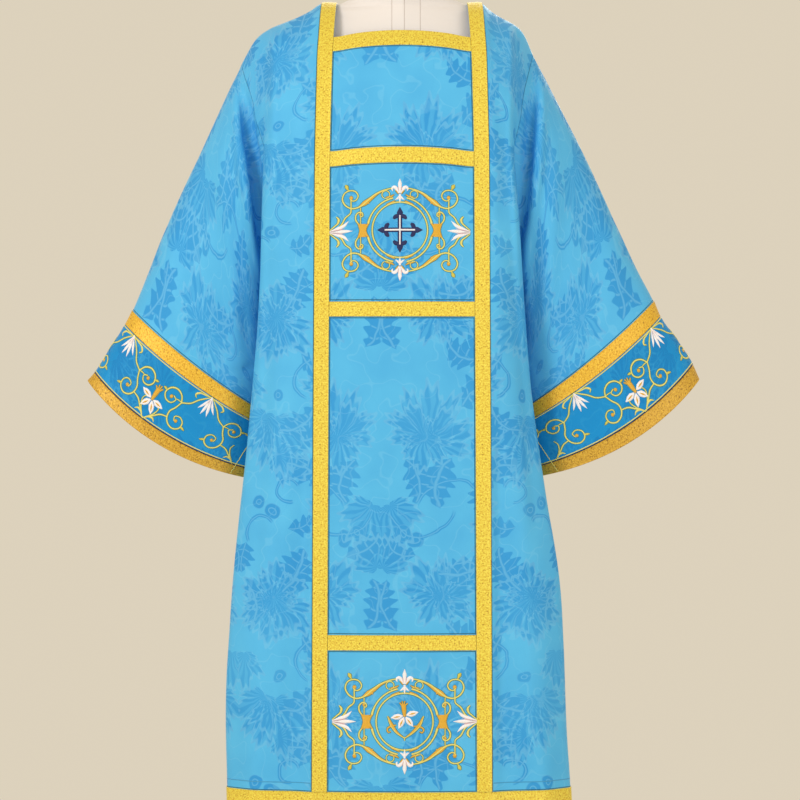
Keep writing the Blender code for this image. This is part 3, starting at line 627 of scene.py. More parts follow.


# Damask: fans of petals, lobed leaves, berries and stems, placed one by one in a mirrored repeat

damask = {
    "repeat": (0.25, 0.41),
    # x, y of the fan's root, radius, petals, direction in degrees (90 is down the cloth)
    "fans": [
        (0.188, 0.196, 0.056, 3, -92), (0.194, 0.2, 0.058, 4, -28), (0.196, 0.208, 0.06, 4, 22),
        (0.192, 0.196, 0.078, 4, 84), (0.182, 0.206, 0.066, 4, 136), (0.18, 0.19, 0.04, 3, 200),
        (0.205, 0.34, 0.074, 5, 64), (0.19, 0.35, 0.09, 5, 102), (0.186, 0.402, 0.06, 4, 150),
        (0.066, 0.086, 0.098, 6, -84), (0.06, 0.074, 0.064, 4, -150), (0.078, 0.084, 0.07, 4, -24),
        (0.064, 0.078, 0.058, 4, 96), (0.09, 0.316, 0.078, 5, -56), (0.08, 0.312, 0.07, 4, -120),
        (0.09, 0.306, 0.06, 4, 40), (0.084, 0.304, 0.058, 4, 118), (0.24, 0.28, 0.058, 4, 92),
        (0.012, 0.176, 0.07, 4, 62), (0.004, 0.268, 0.056, 3, -60)],
    # x, y, length, angle in degrees, width, bend, lobes
    "leaves": [
        (0.178, 0.192, 0.076, -116, 0.86, 0.16, 6), (0.238, 0.118, 0.046, 80, 1.1, 0.2, 4),
        (0.168, 0.096, 0.04, 205, 0.9, 0.35, 3), (0.236, 0.176, 0.074, 96, 0.52, -0.3, 4),
        (0.15, 0.25, 0.074, 160, 0.74, 0.4, 5), (0.034, 0.11, 0.07, 76, 0.8, 0.4, 5),
        (0.104, 0.106, 0.08, 102, 0.74, -0.35, 5), (0.118, 0.036, 0.064, -30, 0.86, 0.35, 4),
        (0.024, 0.36, 0.078, -100, 0.7, 0.35, 5), (0.128, 0.33, 0.066, 30, 0.8, -0.4, 4),
        (0.052, 0.25, 0.06, 215, 0.84, 0.35, 4), (0.152, 0.376, 0.064, -150, 0.76, 0.35, 5)],
    # x, y, radius
    "berries": [(0.2175, 0.06, 0.0115), (0.193, 0.072, 0.0125), (0.034, 0.216, 0.011), (0.052, 0.226, 0.012),
                (0.183, 0.313, 0.01)],
    # centre x, y, radius, start and end in turns, for stems that curl
    "stems": [(0.168, 0.041, 0.017, 0.05, 0.8), (0.214, 0.104, 0.024, 0.1, 0.6),
              (0.108, 0.2, 0.058, 0.05, 0.4), (0.06, 0.17, 0.052, 0.55, 0.95),
              (0.128, 0.29, 0.03, 0.1, 0.7)],
    "stemWidth": 0.0026,
    "wander": (0.008, 24.0),  # how far the outlines stray, and how often
}


def damaskMasks(tree, vector, u, v):
    width, height = damask["repeat"]
    reach, often = damask["wander"]
    noise = tree.nodes.new("ShaderNodeTexNoise")
    noise.inputs["Scale"].default_value = often
    noise.inputs["Detail"].default_value = 2.0
    tree.links.new(vector, noise.inputs["Vector"])
    stray = tree.nodes.new("ShaderNodeSeparateXYZ")
    tree.links.new(noise.outputs["Color"], stray.inputs[0])
    x = (u + Wire(tree, stray.outputs[0]).fit(reach * 2, -reach)).make("PINGPONG", width)
    strayed = v + Wire(tree, stray.outputs[1]).fit(reach * 2, -reach)
    figure, vein = None, None

    def join(inside, line):
        nonlocal figure, vein
        figure = inside if figure is None else figure.most(inside)
        vein = line if vein is None else vein.most(line)

    def nearY(cy):
        return strayed.make("WRAP", cy + height / 2, cy - height / 2)

    def aroundPoint(cx, cy, radius):
        px, py = x.fit(1 / radius, -cx / radius), nearY(cy).fit(1 / radius, -cy / radius)
        return px, py, (px * px + py * py).make("SQRT")

    for cx, cy, radius, petals, way in damask["fans"]:
        px, py, far = aroundPoint(cx, cy, radius)
        turn = py.make("ARCTAN2", px) - math.radians(way)
        fan = turn.fit(petals, 0.0).make("COSINE").make("ABSOLUTE")
        reachOut = turn.make("COSINE").fit(0.5, 0.5).make("POWER", 1.35)
        notched = turn.fit(petals * 7.0, way).make("SINE").fit(0.07, 0.95)
        ratio = far / (fan.fit(0.3, 0.7) * reachOut * notched)
        feather = (turn.fit(petals * 5.0, 0.0) + ratio.fit(5.0, 0.0)).make("SINE").over(-0.5, 0.5)
        inside = ratio.over(1.0, 0.96) * feather.fit(0.55, 0.45)
        rim = ratio.over(0.84, 0.9) * ratio.over(1.0, 0.97)
        split = fan.over(0.22, 0.08) * ratio.over(0.95, 0.8)
        join(inside, rim.most(split * 0.7) * far.over(0.12, 0.3))
    for cx, cy, length, angle, wide, bend, lobes in damask["leaves"]:
        joined = tree.nodes.new("ShaderNodeCombineXYZ")
        tree.links.new(x.socket, joined.inputs[0])
        tree.links.new(nearY(cy).socket, joined.inputs[1])
        mapping = tree.nodes.new("ShaderNodeMapping")
        mapping.vector_type = "TEXTURE"
        mapping.inputs["Location"].default_value = (cx, cy, 0)
        mapping.inputs["Rotation"].default_value = (0, 0, math.radians(angle))
        mapping.inputs["Scale"].default_value = (length, length, 1)
        tree.links.new(joined.outputs[0], mapping.inputs["Vector"])
        apart = tree.nodes.new("ShaderNodeSeparateXYZ")
        tree.links.new(mapping.outputs[0], apart.inputs[0])
        p, q = Wire(tree, apart.outputs[0]), Wire(tree, apart.outputs[1])
        arch = p * p.fit(-1.0, 1.0)
        off = arch.make("MULTIPLY_ADD", bend * 2.2, q).make("ABSOLUTE")
        slant = off.make("MULTIPLY_ADD", -8.0, p.fit(2 * math.pi * lobes, 0.0)).make("COSINE")
        room = slant.fit(-0.28 * wide * 1.5, wide * 1.5) * arch - off
        line = off.over(0.032, 0.012).most(slant.over(0.8, 0.97) * off.over(0.02, 0.05))
        join(room.over(0.0, 0.025), line * room.over(0.02, 0.05))
    for cx, cy, radius in damask["berries"]:
        px, py, far = aroundPoint(cx, cy, radius)
        join(far.over(1.0, 0.9), far.fit(11.0, 2.0).make("COSINE").over(0.5, 0.9) * far.over(0.98, 0.88))
    for cx, cy, radius, start, end in damask["stems"]:
        px, py, far = aroundPoint(cx, cy, radius)
        off = far.fit(1.0, -1.0).make("ABSOLUTE")
        turn = py.make("ARCTAN2", px).fit(1 / (2 * math.pi), 0.5 - (start + end) / 2).make("ABSOLUTE")
        on = turn.over((end - start) / 2, (end - start) / 2 - 0.03)
        thin = damask["stemWidth"] / radius
        join(off.over(thin * 1.2, thin * 0.8) * on, off.over(thin * 0.4, thin * 0.2) * on)
    return figure, vein


def damaskLook(name, ground, figureColor, veinColor, roughness):
    look, tree, shader = newLook(name, ground, roughness, specular=0.35)
    shader.inputs["Specular Tint"].default_value = (0.35, 0.75, 1.0, 1)
    vector, u, v = clothWires(tree)
    figure, vein = damaskMasks(tree, vector, u, v)
    cloudy = noiseWire(tree, vector, 14.0, 2.0)
    base = colorMix(tree, cloudy.over(0.35, 0.7) * 0.3, ground, figureColor)
    strength = noiseWire(tree, vector, 5.0, 1.0).over(0.25, 0.65).fit(0.55, 0.55)
    base = colorMix(tree, figure * strength, base, figureColor)
    # thin light contours that stray over ground and figures
    contour = noiseWire(tree, vector, 24.0, 1.0).fit(1.0, -0.5).make("ABSOLUTE").over(0.014, 0.005)
    base = colorMix(tree, vein.most(contour * 0.55) * 0.34, base, veinColor)
    tree.links.new(base, shader.inputs["Base Color"])
    rough = (figure - vein).fit(0.16, roughness)
    tree.links.new(rough.socket, shader.inputs["Roughness"])
    # fine satin threads, closer together than the figure shows
    warp = u.fit(2 * math.pi / 0.0009, 0.0).make("SINE")
    weft = v.fit(2 * math.pi / 0.0011, 0.0).make("SINE")
    addBump(tree, shader, warp * weft, 0.00006, 0.5)
    return look


looks = {}
looks["damask"] = damaskLook("damaskCloth", linear("5ABAEE"), linear("3898DC"), linear("86D2F6"), 0.42)
looks["cuffSatin"] = damaskLook("cuffSatin", linear("1C8ED2"), linear("187EC4"), linear("38A4DA"), 0.38)


# Galloon: an uneven speckle over a faint trellis, in gold on yellow with brown between; the speckle is the
# braid's own, and its colour follows the relief, paler on the tops and brown in the hollows, as painted light
# and shade
def galloonLook(name, pale, deep, dark):
    look, tree, shader = newLook(name, pale, 0.45, metallic=0.2)
    vector, u, v = clothWires(tree)
    one = (u + v).fit(2 * math.pi / 0.013, 0.0).make("SINE")
    two = (v - u).fit(2 * math.pi / 0.013, 0.0).make("SINE")
    speckle = noiseWire(tree, vector, 420.0, 2.0)
    swirl = noiseWire(tree, vector, 210.0, 2.0).fit(1.0, -0.5).make("ABSOLUTE")
    relief = one.most(two).fit(0.05, 0.3) + speckle.fit(1.7, -0.85) + swirl.fit(1.4, 0.0)
    # paler where the relief stands high, brown where it is lowest: painted light and shade of the braid's
    # relief
    base = colorMix(tree, relief.over(0.15, 0.62), deep, pale)
    base = colorMix(tree, relief.over(0.22, 0.02) * 0.75, base, dark)
    tree.links.new(base, shader.inputs["Base Color"])
    addBump(tree, shader, relief, 0.0006, 0.7)
    return look


looks["galloon"] = galloonLook("galloonGold", linear("F0DE54"), linear("DAB534"), linear("98782C"))
looks["cuffGalloon"] = galloonLook("cuffGalloonGold", linear("F0C43C"), linear("D8A022"), linear("806016"))
looks["cuffRim"] = galloonLook("cuffRimGold", linear("DDB03A"), linear("B98A22"), linear("6A4A14"))


# Thread: satin stitches lie across the stroke
def threadLook(name, color, shade, roughness):
    look, tree, shader = newLook(name, linear(color), roughness, sheen=0.2)
    stitch = clothWires(tree)[2].fit(2 * math.pi / 0.0007, 0.0).make("SINE")
    # the grooves between stitches take the darker colour: painted shade
    base = colorMix(tree, stitch.over(-0.2, -1.0) * 0.45, linear(color), linear(shade))
    tree.links.new(base, shader.inputs["Base Color"])
    addBump(tree, shader, stitch, 0.00012, 0.6)
    return look


threads = {
    # look's name, colour, painted shade in the grooves between stitches, roughness
    "pale": ("paleYellowThread", "EDE27A", "B5A848", 0.38),
    "gold": ("goldThread", "E8B22C", "B08018", 0.38),
    "bud": ("budThread", "DCCF52", "A38F2C", 0.38),
    "white": ("whiteThread", "FBF9FB", "CFC3DA", 0.38),
    "navy": ("navyThread", "0A1A5C", "061040", 0.6),
    "rose": ("roseThread", "E6BFC4", "C79AA4", 0.38),
    # dark teal: painted shadow along the raised edges of the galloons
    "paintedShadow": ("paintedShadowThread", "15657F", "0E4A60", 0.6),
    # dark teal-green under the raised strokes: painted shade at their edges
    "strokeShade": ("strokeShadeThread", "3F8578", "2C6058", 0.6),
    # darker blue than the cloth: painted shade of the hem's crease
    "creaseShade": ("creaseShadeThread", "3C9FD4", "2A86BA", 0.5),
    "linen": ("linenThread", "CFC5C0", "BDB2AC", 0.8),
}
threadLooks = {key: threadLook(*facts) for key, facts in threads.items()}


def plainLooks():
    linen, tree, shader = newLook("formLinen", linear("E6E0DE"), 0.85)
    spot = tree.nodes.new("ShaderNodeTexCoord")
    weave = noiseWire(tree, spot.outputs["Object"], 900.0, 1.0)
    addBump(tree, shader, weave, 0.0003, 0.4)
    wood, tree, shader = newLook("capWood", linear("7A4A26"), 0.42)
    spot = tree.nodes.new("ShaderNodeTexCoord")
    grain = noiseWire(tree, spot.outputs["Object"], 60.0, 3.0, (1, 1, 7))
    base = colorMix(tree, grain.over(0.35, 0.68), linear("8A5A30"), linear("5E361A"))
    tree.links.new(base, shader.inputs["Base Color"])
    metal, tree, shader = newLook("standMetal", linear("2B2B2E"), 0.38, metallic=0.7)
    spot = tree.nodes.new("ShaderNodeTexCoord")
    worn = noiseWire(tree, spot.outputs["Object"], 180.0, 2.0)
    tree.links.new(worn.fit(0.18, 0.28).socket, shader.inputs["Roughness"])
    return linen, wood, metal


looks["linen"], looks["wood"], looks["metal"] = plainLooks()
print("materials", len(looks) + len(threadLooks))


# Panels and sleeves

lines, columns = bodyCloth["lines"], bodyCloth["columns"]
lineMiddle = (lines[1:] + lines[:-1]) / 2
columnMiddle = (columns[1:] + columns[:-1]) / 2
betweenGalloons = (columnMiddle > leftInner) & (columnMiddle < rightInner)
neckOpen = (np.abs(lineMiddle - ridge) < 3)[:, None] & betweenGalloons[None]
bodyUnder = bodyCloth["points"] - bodyCloth["normals"] * clothWall
for name, node, chosen in (("frontPanel", "front", lineMiddle < ridge - 0.01),
                           ("backPanel", "back", lineMiddle > ridge + 0.01)):
    keep = chosen[:, None] & ~neckOpen
    piece = shellPiece(name, bodyCloth["points"], bodyUnder, looks["damask"], bodyCloth["place"], keep)
    rows = np.flatnonzero(chosen)
    part = slice(rows[0], rows[-1] + 2)
    area, width, length = flatSize(bodyCloth["points"][part], keep[rows[0]:rows[-1] + 1])
    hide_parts(node)
for side, cloth in sleeveCloth.items():
    under = cloth["points"] - cloth["normals"] * clothWall
    piece = shellPiece(side + "Sleeve", cloth["points"], under, looks["damask"], cloth["place"])
    area, width, length = flatSize(cloth["points"])
    side + "Sleeve"
    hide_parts("sleeve_" + side)
print("panels and sleeves")


# Galloons, bars, hem bands and cuffs

def bodyPlaces(low, high):
    inside = bodyCloth["lines"]
    chosen = inside[(inside > low + 1e-6) & (inside < high - 1e-6)]
    return np.concatenate([[low], chosen, [high]])


def columnPlaces(low, high):
    inside = bodyCloth["columns"]
    chosen = inside[(inside > low + 1e-6) & (inside < high - 1e-6)]
    return np.concatenate([[low], chosen, [high]])


acrossStrip = np.array([0, 0.035, 0.08, 0.14, 0.3, 0.5, 0.7, 0.86, 0.92, 0.965, 1.0])
hemGap = 0.0133  # the galloons end this share of a line above the hem bands
for side, outer in (("left", leftOuter), ("right", rightInner)):
    piece = sewnStrip(
        side + "Galloon", bodyCloth, bodyPlaces(1 + hemGap, lastLine - 1 - hemGap),
        outer + acrossStrip, sewnThick, looks["galloon"], False)
    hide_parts("galloon_" + side)
for bar, top, bottom in (("neck", 3, 4), ("chest", 8, 9), ("middle", 14, 15), ("lower", 24, 25)):
    for side, sign in (("front", -1), ("back", 1)):
        low, high = sorted((ridge + sign * top, ridge + sign * bottom))
        piece = sewnStrip(
            f"{bar}Bar{side.title()}", bodyCloth, low + acrossStrip * (high - low),
            columnPlaces(leftInner + 0.009, rightInner - 0.009), sewnThick, looks["galloon"], True)
        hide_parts(f"bar_{bar}_{side}")
for side, low in (("front", 0), ("back", lastLine - 1)):
    piece = sewnStrip(
        "hemBand" + side.title(), bodyCloth, low + acrossStrip, columnPlaces(0, lastColumn), sewnThick,
        looks["galloon"], True)
    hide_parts("hem_band_" + side)
for side, cloth in sleeveCloth.items():
    for name, node, look, slotName in (("CuffUpper", "cuff_galloon_upper_", "cuffGalloon", "galloon"),
                                       ("CuffBand", "cuff_band_", "cuffSatin", "embroidered"),
                                       ("CuffLower", "cuff_galloon_lower_", "cuffRim", "galloon")):
        first, last = sleeve["c" + name[1:]]
        step = 0.012 if last - first == 1 else 0.008  # gap to the strip before, in lines
        rows = first + step + acrossStrip * (last - first - step)
        if slotName == "embroidered":
            rows = np.linspace(first + step, last, 17)
        piece = sewnStrip(side + name, cloth, rows, cloth["columns"], sewnThick, looks[look], True)
        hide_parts(node + side)
print("galloons and cuffs")


# Embroidery: strokes of thread with rounded tops, drawn in cloth measures

def smoothPath(points, step):
    points = np.asarray(points, float)[:, None, :]
    length = np.linalg.norm(np.diff(points[:, 0], axis=0), axis=1)
    counts = [max(2, round(part / step)) for part in length]
    places = [np.linspace(n, n + 1, count, endpoint=False) for n, count in enumerate(counts)]
    places = np.concatenate(places + [[float(len(length))]])
    return readBetween(points, places)[:, 0]


# Finds points of the body cloth from measures across and down, both in metres
def onBody(across, down):
    lineAt = np.interp(down, bodyCloth["down"], np.arange(len(bodyCloth["down"])))
    i = np.clip(lineAt.astype(int), 0, len(bodyCloth["down"]) - 2)
    s = (lineAt - i)[..., None]
    rows = bodyCloth["across"][i] * (1 - s) + bodyCloth["across"][i + 1] * s
    flatRows, wanted = rows.reshape(-1, rows.shape[-1]), across.ravel()
    found = np.array([np.interp(u, row, np.arange(len(row))) for u, row in zip(wanted, flatRows)])
    return readFine(bodyCloth, lineAt, found.reshape(across.shape))


# Finds points of a cuff band from measures along it (from the sleeve's top edge) and down it
def onCuff(cloth, along, down, bandHeight=0.081):
    lineAt = fineIndex(cloth["lines"], 9 + 2 * np.clip(down / bandHeight, -0.2, 1.2))
    i = np.clip(lineAt.astype(int), 0, len(cloth["lines"]) - 2)
    s = (lineAt - i)[..., None]
    rows = cloth["across"][i] * (1 - s) + cloth["across"][i + 1] * s
    girth = rows[..., -1] - rows[..., 0]
    wrapped = rows[..., 0] + np.mod(along - rows[..., 0], girth)
    flatRows, wanted = rows.reshape(-1, rows.shape[-1]), wrapped.ravel()
    found = np.array([np.interp(u, row, np.arange(len(row))) for u, row in zip(wanted, flatRows)])
    return readFine(cloth, lineAt, found.reshape(along.shape))


# A stroke is a path in mm, half widths in mm spread evenly along it, and a height in mm
def threadPiece(name, strokes, find, look, base, step):
    verts, faces, spots = [], [], []
    start = 0
    for path, widths, high in strokes:
        line = smoothPath(path, step)
        way = np.gradient(line, axis=0)
        way /= np.maximum(np.linalg.norm(way, axis=1, keepdims=True), 1e-9)
        left = np.column_stack([-way[:, 1], way[:, 0]])
        run = np.concatenate([[0], np.cumsum(np.linalg.norm(np.diff(line, axis=0), axis=1))])
        half = np.interp(run / run[-1], np.linspace(0, 1, len(widths)), widths)
        offs = np.array([-1, -0.62, 0, 0.62, 1, 1, -1])
        rise = np.array([0.15, 0.78, 1, 0.78, 0.15, 0, 0]) * high
        flat = line[:, None] + left[:, None] * (half[:, None] * offs)[..., None]
        points, normals = find(flat[..., 0] / 1000, flat[..., 1] / 1000)
        thin = np.minimum(1, half / 0.5)[:, None]
        level = base + rise[None] * thin / 1000
        level[:, 5:] = base - 0.0003  # the stroke's foot lies in the cloth
        points = points + normals * level[..., None]
        faces += tubeFaces(start, len(line), 7)
        verts.append(points.reshape(-1, 3))
        side = half[:, None] * offs / 1000
        along = np.repeat(run[:, None] / 1000, 7, axis=1)
        spots.append(np.stack([side, along, np.zeros_like(side)], -1).reshape(-1, 3))
        start += len(line) * 7
    return newPiece(name, np.concatenate(verts), faces, look, np.concatenate(spots), 80)


def mirrored(strokes, both=True):
    made = []
    for path, widths, high in strokes:
        path = np.asarray(path, float)
        flips = [(1, 1)] + [(-1, 1)] * bool(np.ptp(path[:, 0]) or path[0, 0])
        if both:
            flips += [(x, -1) for x, _ in flips]
        made += [(path * flip, widths, high) for flip in flips]
    return made


def circle(x, y, radius, start=0.0, end=360.0, count=24):
    turns = np.radians(np.linspace(start, end, count))
    return np.column_stack([x + radius * np.cos(turns), y + radius * np.sin(turns)])


def dot(x, y, radius, high=0.9):
    widths = [0.15, radius * 0.9, radius, radius * 0.9, 0.15]
    return [(x - radius, y), (x, y), (x + radius, y)], widths, high


# The frame round both medallions, a quarter of it where it is the same in all four
medallion = {
    "arch": [(9.7, 60.9), (22.7, 58.0), (37.0, 51.5), (46.0, 44.5), (58.7, 34.9), (68.8, 32.8), (79.6, 38.4),
             (84.0, 47.9), (80.4, 56.6), (72.4, 59.6), (64.5, 57.4), (60.9, 50.8), (63.8, 45.2), (69.0, 44.0),
             (72.6, 47.0)],
    "archLeaf": [(20.0, 58.6), (33.0, 53.0), (44.0, 45.0), (52.0, 39.4), (61.5, 33.6)],
    "archLobe": [(44.5, 38.8), (47.5, 41.0), (52.0, 40.5)],
    "stem": [(71.4, 46.0), (71.3, 32.0), (71.6, 27.4), (79.8, 19.6), (85.0, 10.8), (91.0, 4.9), (102.0, 1.4)],
    "tendril": [(102.6, 2.6), (95.6, 8.4), (90.6, 13.0), (89.6, 18.4), (92.8, 22.6)],
    "bud": [(75.0, 60.0), (76.4, 62.4), (77.8, 65.6), (80.0, 68.6)],
    "claspVolute": [(59.4, 8.5), (64.2, 15.6), (64.0, 22.8), (59.8, 26.8), (54.8, 25.4), (54.2, 21.2),
                    (57.6, 20.2)],
    "claspLine": [(57.3, 33.6), (57.3, 21.0), (57.3, 8.0)],
    "loop": circle(20.6, 51.4, 5.6, -60, 290, 14),
    "ropeLeaf": [(6.5, 42.6), (12.0, 39.6), (20.0, 37.0)],
    "ropeLeafOut": [(8.0, 51.5), (13.0, 48.5), (21.0, 47.6)],
    "fleurSide": [(1.4, 53.0), (4.0, 58.5), (8.6, 62.4), (11.6, 59.8), (10.4, 56.6)],
    "fleurFoot": [(1.2, 49.5), (3.8, 45.4), (6.8, 43.8)],
    "lilySide": [(103.0, 1.2), (92.0, 4.6), (82.0, 8.4), (74.6, 15.0)],
}


def medallionStrokes():
    m = medallion
    pale = mirrored([
        (m["arch"], [0.7, 0.9, 1.0, 1.0, 0.9, 0.9, 0.8, 0.8, 0.7], 0.9),
        (m["stem"], [0.7, 0.8, 0.9, 0.9, 0.7], 0.8), (m["tendril"], [0.6, 0.8, 0.9, 1.5, 0.6], 0.8),
        (m["claspVolute"], [0.7, 0.9, 0.9, 0.8, 0.7], 0.9), (m["claspLine"], [0.6, 0.6], 0.6),
        (m["loop"], [0.6, 0.6], 0.7),
        (circle(0, 0, 47.3, 12, 78, 16), [1.4, 0.9, 0.9, 0.9, 1.0], 0.9)])
    pale += [(circle(0, 0, 40.3, start, start + 180, 30), [0.85, 0.85], 0.9) for start in (0, 180)]
    gold = mirrored([
        (m["archLeaf"], [0.4, 1.5, 2.6, 3.8, 0.6], 0.7), (m["archLobe"], [0.5, 2.2, 1.5], 0.7),
        (m["ropeLeaf"], [0.3, 1.4, 1.3, 0.3], 0.8), (m["ropeLeafOut"], [0.3, 1.4, 1.3, 0.3], 0.8),
        dot(71.0, 48.6, 3.0), dot(57.6, 23.6, 2.2),
        ([(2.2, 52.0), (4.2, 55.4), (6.8, 57.6)], [0.4, 1.2, 0.4], 1.2),
        ([(60.8, 10.5), (57.6, 4.0), (56.6, 0.0)], [1.2, 2.2, 2.6], 1.0),
        ([(45.6, 10.0), (50.0, 4.6), (51.6, 0.0)], [1.0, 2.2, 2.6], 1.0)])
    gold += mirrored([([(54.2, -9.6), (54.2, 0.0), (54.2, 9.6)], [5.4, 3.9, 5.4], 1.1)], False)
    bud = mirrored([(m["bud"], [0.6, 1.8, 2.9, 0.5], 1.0)])
    white = mirrored([
        (m["fleurSide"], [0.6, 2.2, 2.6, 2.0, 0.6], 1.1), (m["fleurFoot"], [0.5, 1.6, 0.4], 1.1),
        ([(0, 53.5), (0, 60), (0, 66), (0, 74.6)], [1.2, 2.6, 2.9, 0.2], 1.3),
        ([(0, 52), (0, 47), (0, 38.6)], [1.6, 1.8, 0.2], 1.2),
        (m["lilySide"], [0.5, 1.6, 2.7, 2.2, 0.2], 1.1)])
    white += mirrored([([(103, 0), (92, 0), (80, 0), (68.8, 0)], [0.5, 1.2, 3.0, 2.2, 0.2], 1.3)], False)
    rose = mirrored([([(102, 0.9), (90, 2.8), (80.5, 4.2)], [0.3, 0.6, 0.2], 1.6),
                     ([(1.6, 54.5), (2.6, 60), (2.4, 64)], [0.3, 0.5, 0.2], 1.6)])
    return {"pale": pale, "gold": gold, "bud": bud, "white": white, "rose": rose, "navy": []}


# Upper medallion: a navy cross with budded ends and a thin white cross on it
def crossStrokes():
    arms = []
    for turn in range(4):
        spin = np.array([[math.cos(turn * math.pi / 2), math.sin(turn * math.pi / 2)],
                         [-math.sin(turn * math.pi / 2), math.cos(turn * math.pi / 2)]])
        for path, widths, high in [
                ([(0, 0), (0, 26)], [3.3, 3.3], 0.9), ([(0, 18), (0, 25), (0, 33.0)], [3.0, 4.6, 0.3], 1.0),
                ([(0, 20.5), (4.4, 20.0), (7.4, 18.4), (9.2, 15.8)], [2.4, 3.1, 3.2, 1.6], 0.9),
                ([(0, 20.5), (-4.4, 20.0), (-7.4, 18.4), (-9.2, 15.8)], [2.4, 3.1, 3.2, 1.6], 0.9)]:
            arms.append((np.array(path, float) @ spin, widths, high))
    white = [([(0, -21.4), (0, 21.4)], [1.3, 1.3], 1.5), ([(-22.2, 0), (22.0, 0)], [1.5, 1.5], 1.6)]
    return {"navy": arms, "white": white}


# A narcissus for the lower medallion and the cuffs; flip turns it upside down
def narcissus(x, y, size, flip=1.0):
    def put(points):
        return [(x + a * size, y + b * size * flip) for a, b in points]

    white, gold = [], []
    for tip in ((-19.6, -3.2), (-8.4, -18.6), (12.0, -15.6), (19.6, 5.0)):
        middle = (tip[0] * 0.55, tip[1] * 0.55)
        petal = put([(tip[0] * 0.12, tip[1] * 0.12), middle, tip])
        white.append((petal, [0.8 * size, 4.2 * size, 3.6 * size, 0.3], 0.9))
        inner = [(tip[0] * 0.3, tip[1] * 0.3), (tip[0] * 0.58, tip[1] * 0.58), (tip[0] * 0.82, tip[1] * 0.82)]
        gold.append((put(inner), [0.3, 1.7 * size, 0.3], 1.4))
    gold.append((put([(0, -1.5), (-0.8, 8), (-1.6, 15.5)]), [1.6 * size, 3.0 * size, 3.4 * size], 1.4))
    for tip in ((-7.0, 18.5), (-3.6, 21.0), (0.4, 20.6), (4.4, 17.6)):
        gold.append((put([(tip[0] * 0.35 - 1.2, 14.0), tip]), [1.2 * size, 0.8 * size], 1.2))
    return white, gold


# Lower medallion: the narcissus over two curved leaves
def flowerStrokes():
    white, gold = narcissus(0.0, 8.6, 1.0)
    gold += [([(0, -23.6), (-12, -13.6), (-18.6, -4.0), (-22.6, 7.0)], [0.7, 1.3, 2.6, 0.3], 0.9),
             ([(0, -23.6), (12, -14.0), (21.0, -4.6), (25.6, 7.0)], [0.7, 1.3, 2.6, 0.3], 0.9),
             ([(-12, -5.0), (-19.6, -6.4), (-24.6, -10.4), (-22.6, -15.4), (-19.6, -13.6)],
              [0.8, 1.2, 1.2, 0.8], 0.9),
             ([(13, -6.6), (21.0, -7.0), (27.2, -11.6), (24.4, -16.0), (21.4, -14.0)],
              [0.8, 1.2, 1.2, 0.8], 0.9)]
    pale = [([(0, -23.6), (-12.8, -14.8), (-20.0, -4.4), (-24.0, 8.0)], [0.5, 0.7, 0.6], 1.2),
             ([(0, -23.6), (12.8, -15.2), (22.4, -5.0), (27.0, 8.0)], [0.5, 0.7, 0.6], 1.2),
             ([(0, -22.0), (0, -27.0)], [0.8, 0.4], 0.9)]
    return {"white": white, "gold": gold, "pale": pale}


# The cuffs' repeat: half of it from the hanging lily (0) to the flower's axis (71), measured down the band
cuffMotif = {
    "period": 142.5,
    "stem": [(0.5, 1.0), (6.6, 6.6), (14.6, 14.2), (22.7, 24.7), (33.6, 30.8)],
    "upperScroll": [(33.6, 30.8), (38.6, 22.4), (47.4, 18.4), (57.4, 22.4), (60.8, 31.0), (55.6, 38.2),
                    (46.2, 38.2), (42.8, 31.6), (48.2, 28.6)],
    "lowerScroll": [(33.6, 30.8), (37.6, 41.0), (42.4, 50.0), (41.8, 59.2), (36.4, 66.4), (27.4, 69.0),
                    (19.4, 63.4), (19.2, 54.4), (25.8, 49.4), (32.6, 52.6), (31.0, 58.4)],
    "upperBud": [(60.4, 27.4), (63.0, 26.6), (66.6, 26.0)],
    "lowerBud": [(19.6, 60.6), (16.4, 61.8), (11.8, 63.6)],
    "foot": [(42.2, 58.6), (51.6, 61.4), (59.4, 68.6), (70.8, 80.0)],
    "footTendril": [(70.0, 79.0), (64.0, 73.6), (58.4, 72.4), (54.6, 75.6)],
    "topTendril": [(1.0, 1.6), (10.6, 3.6), (19.2, 5.8), (22.6, 10.4), (19.8, 13.6)],
    "flowerTendril": [(68.6, 77.0), (60.2, 66.0), (57.6, 56.6), (60.4, 50.6)],
    "scrollTie": [(33.0, 30.6), (38.6, 30.0), (44.4, 30.6)],
}


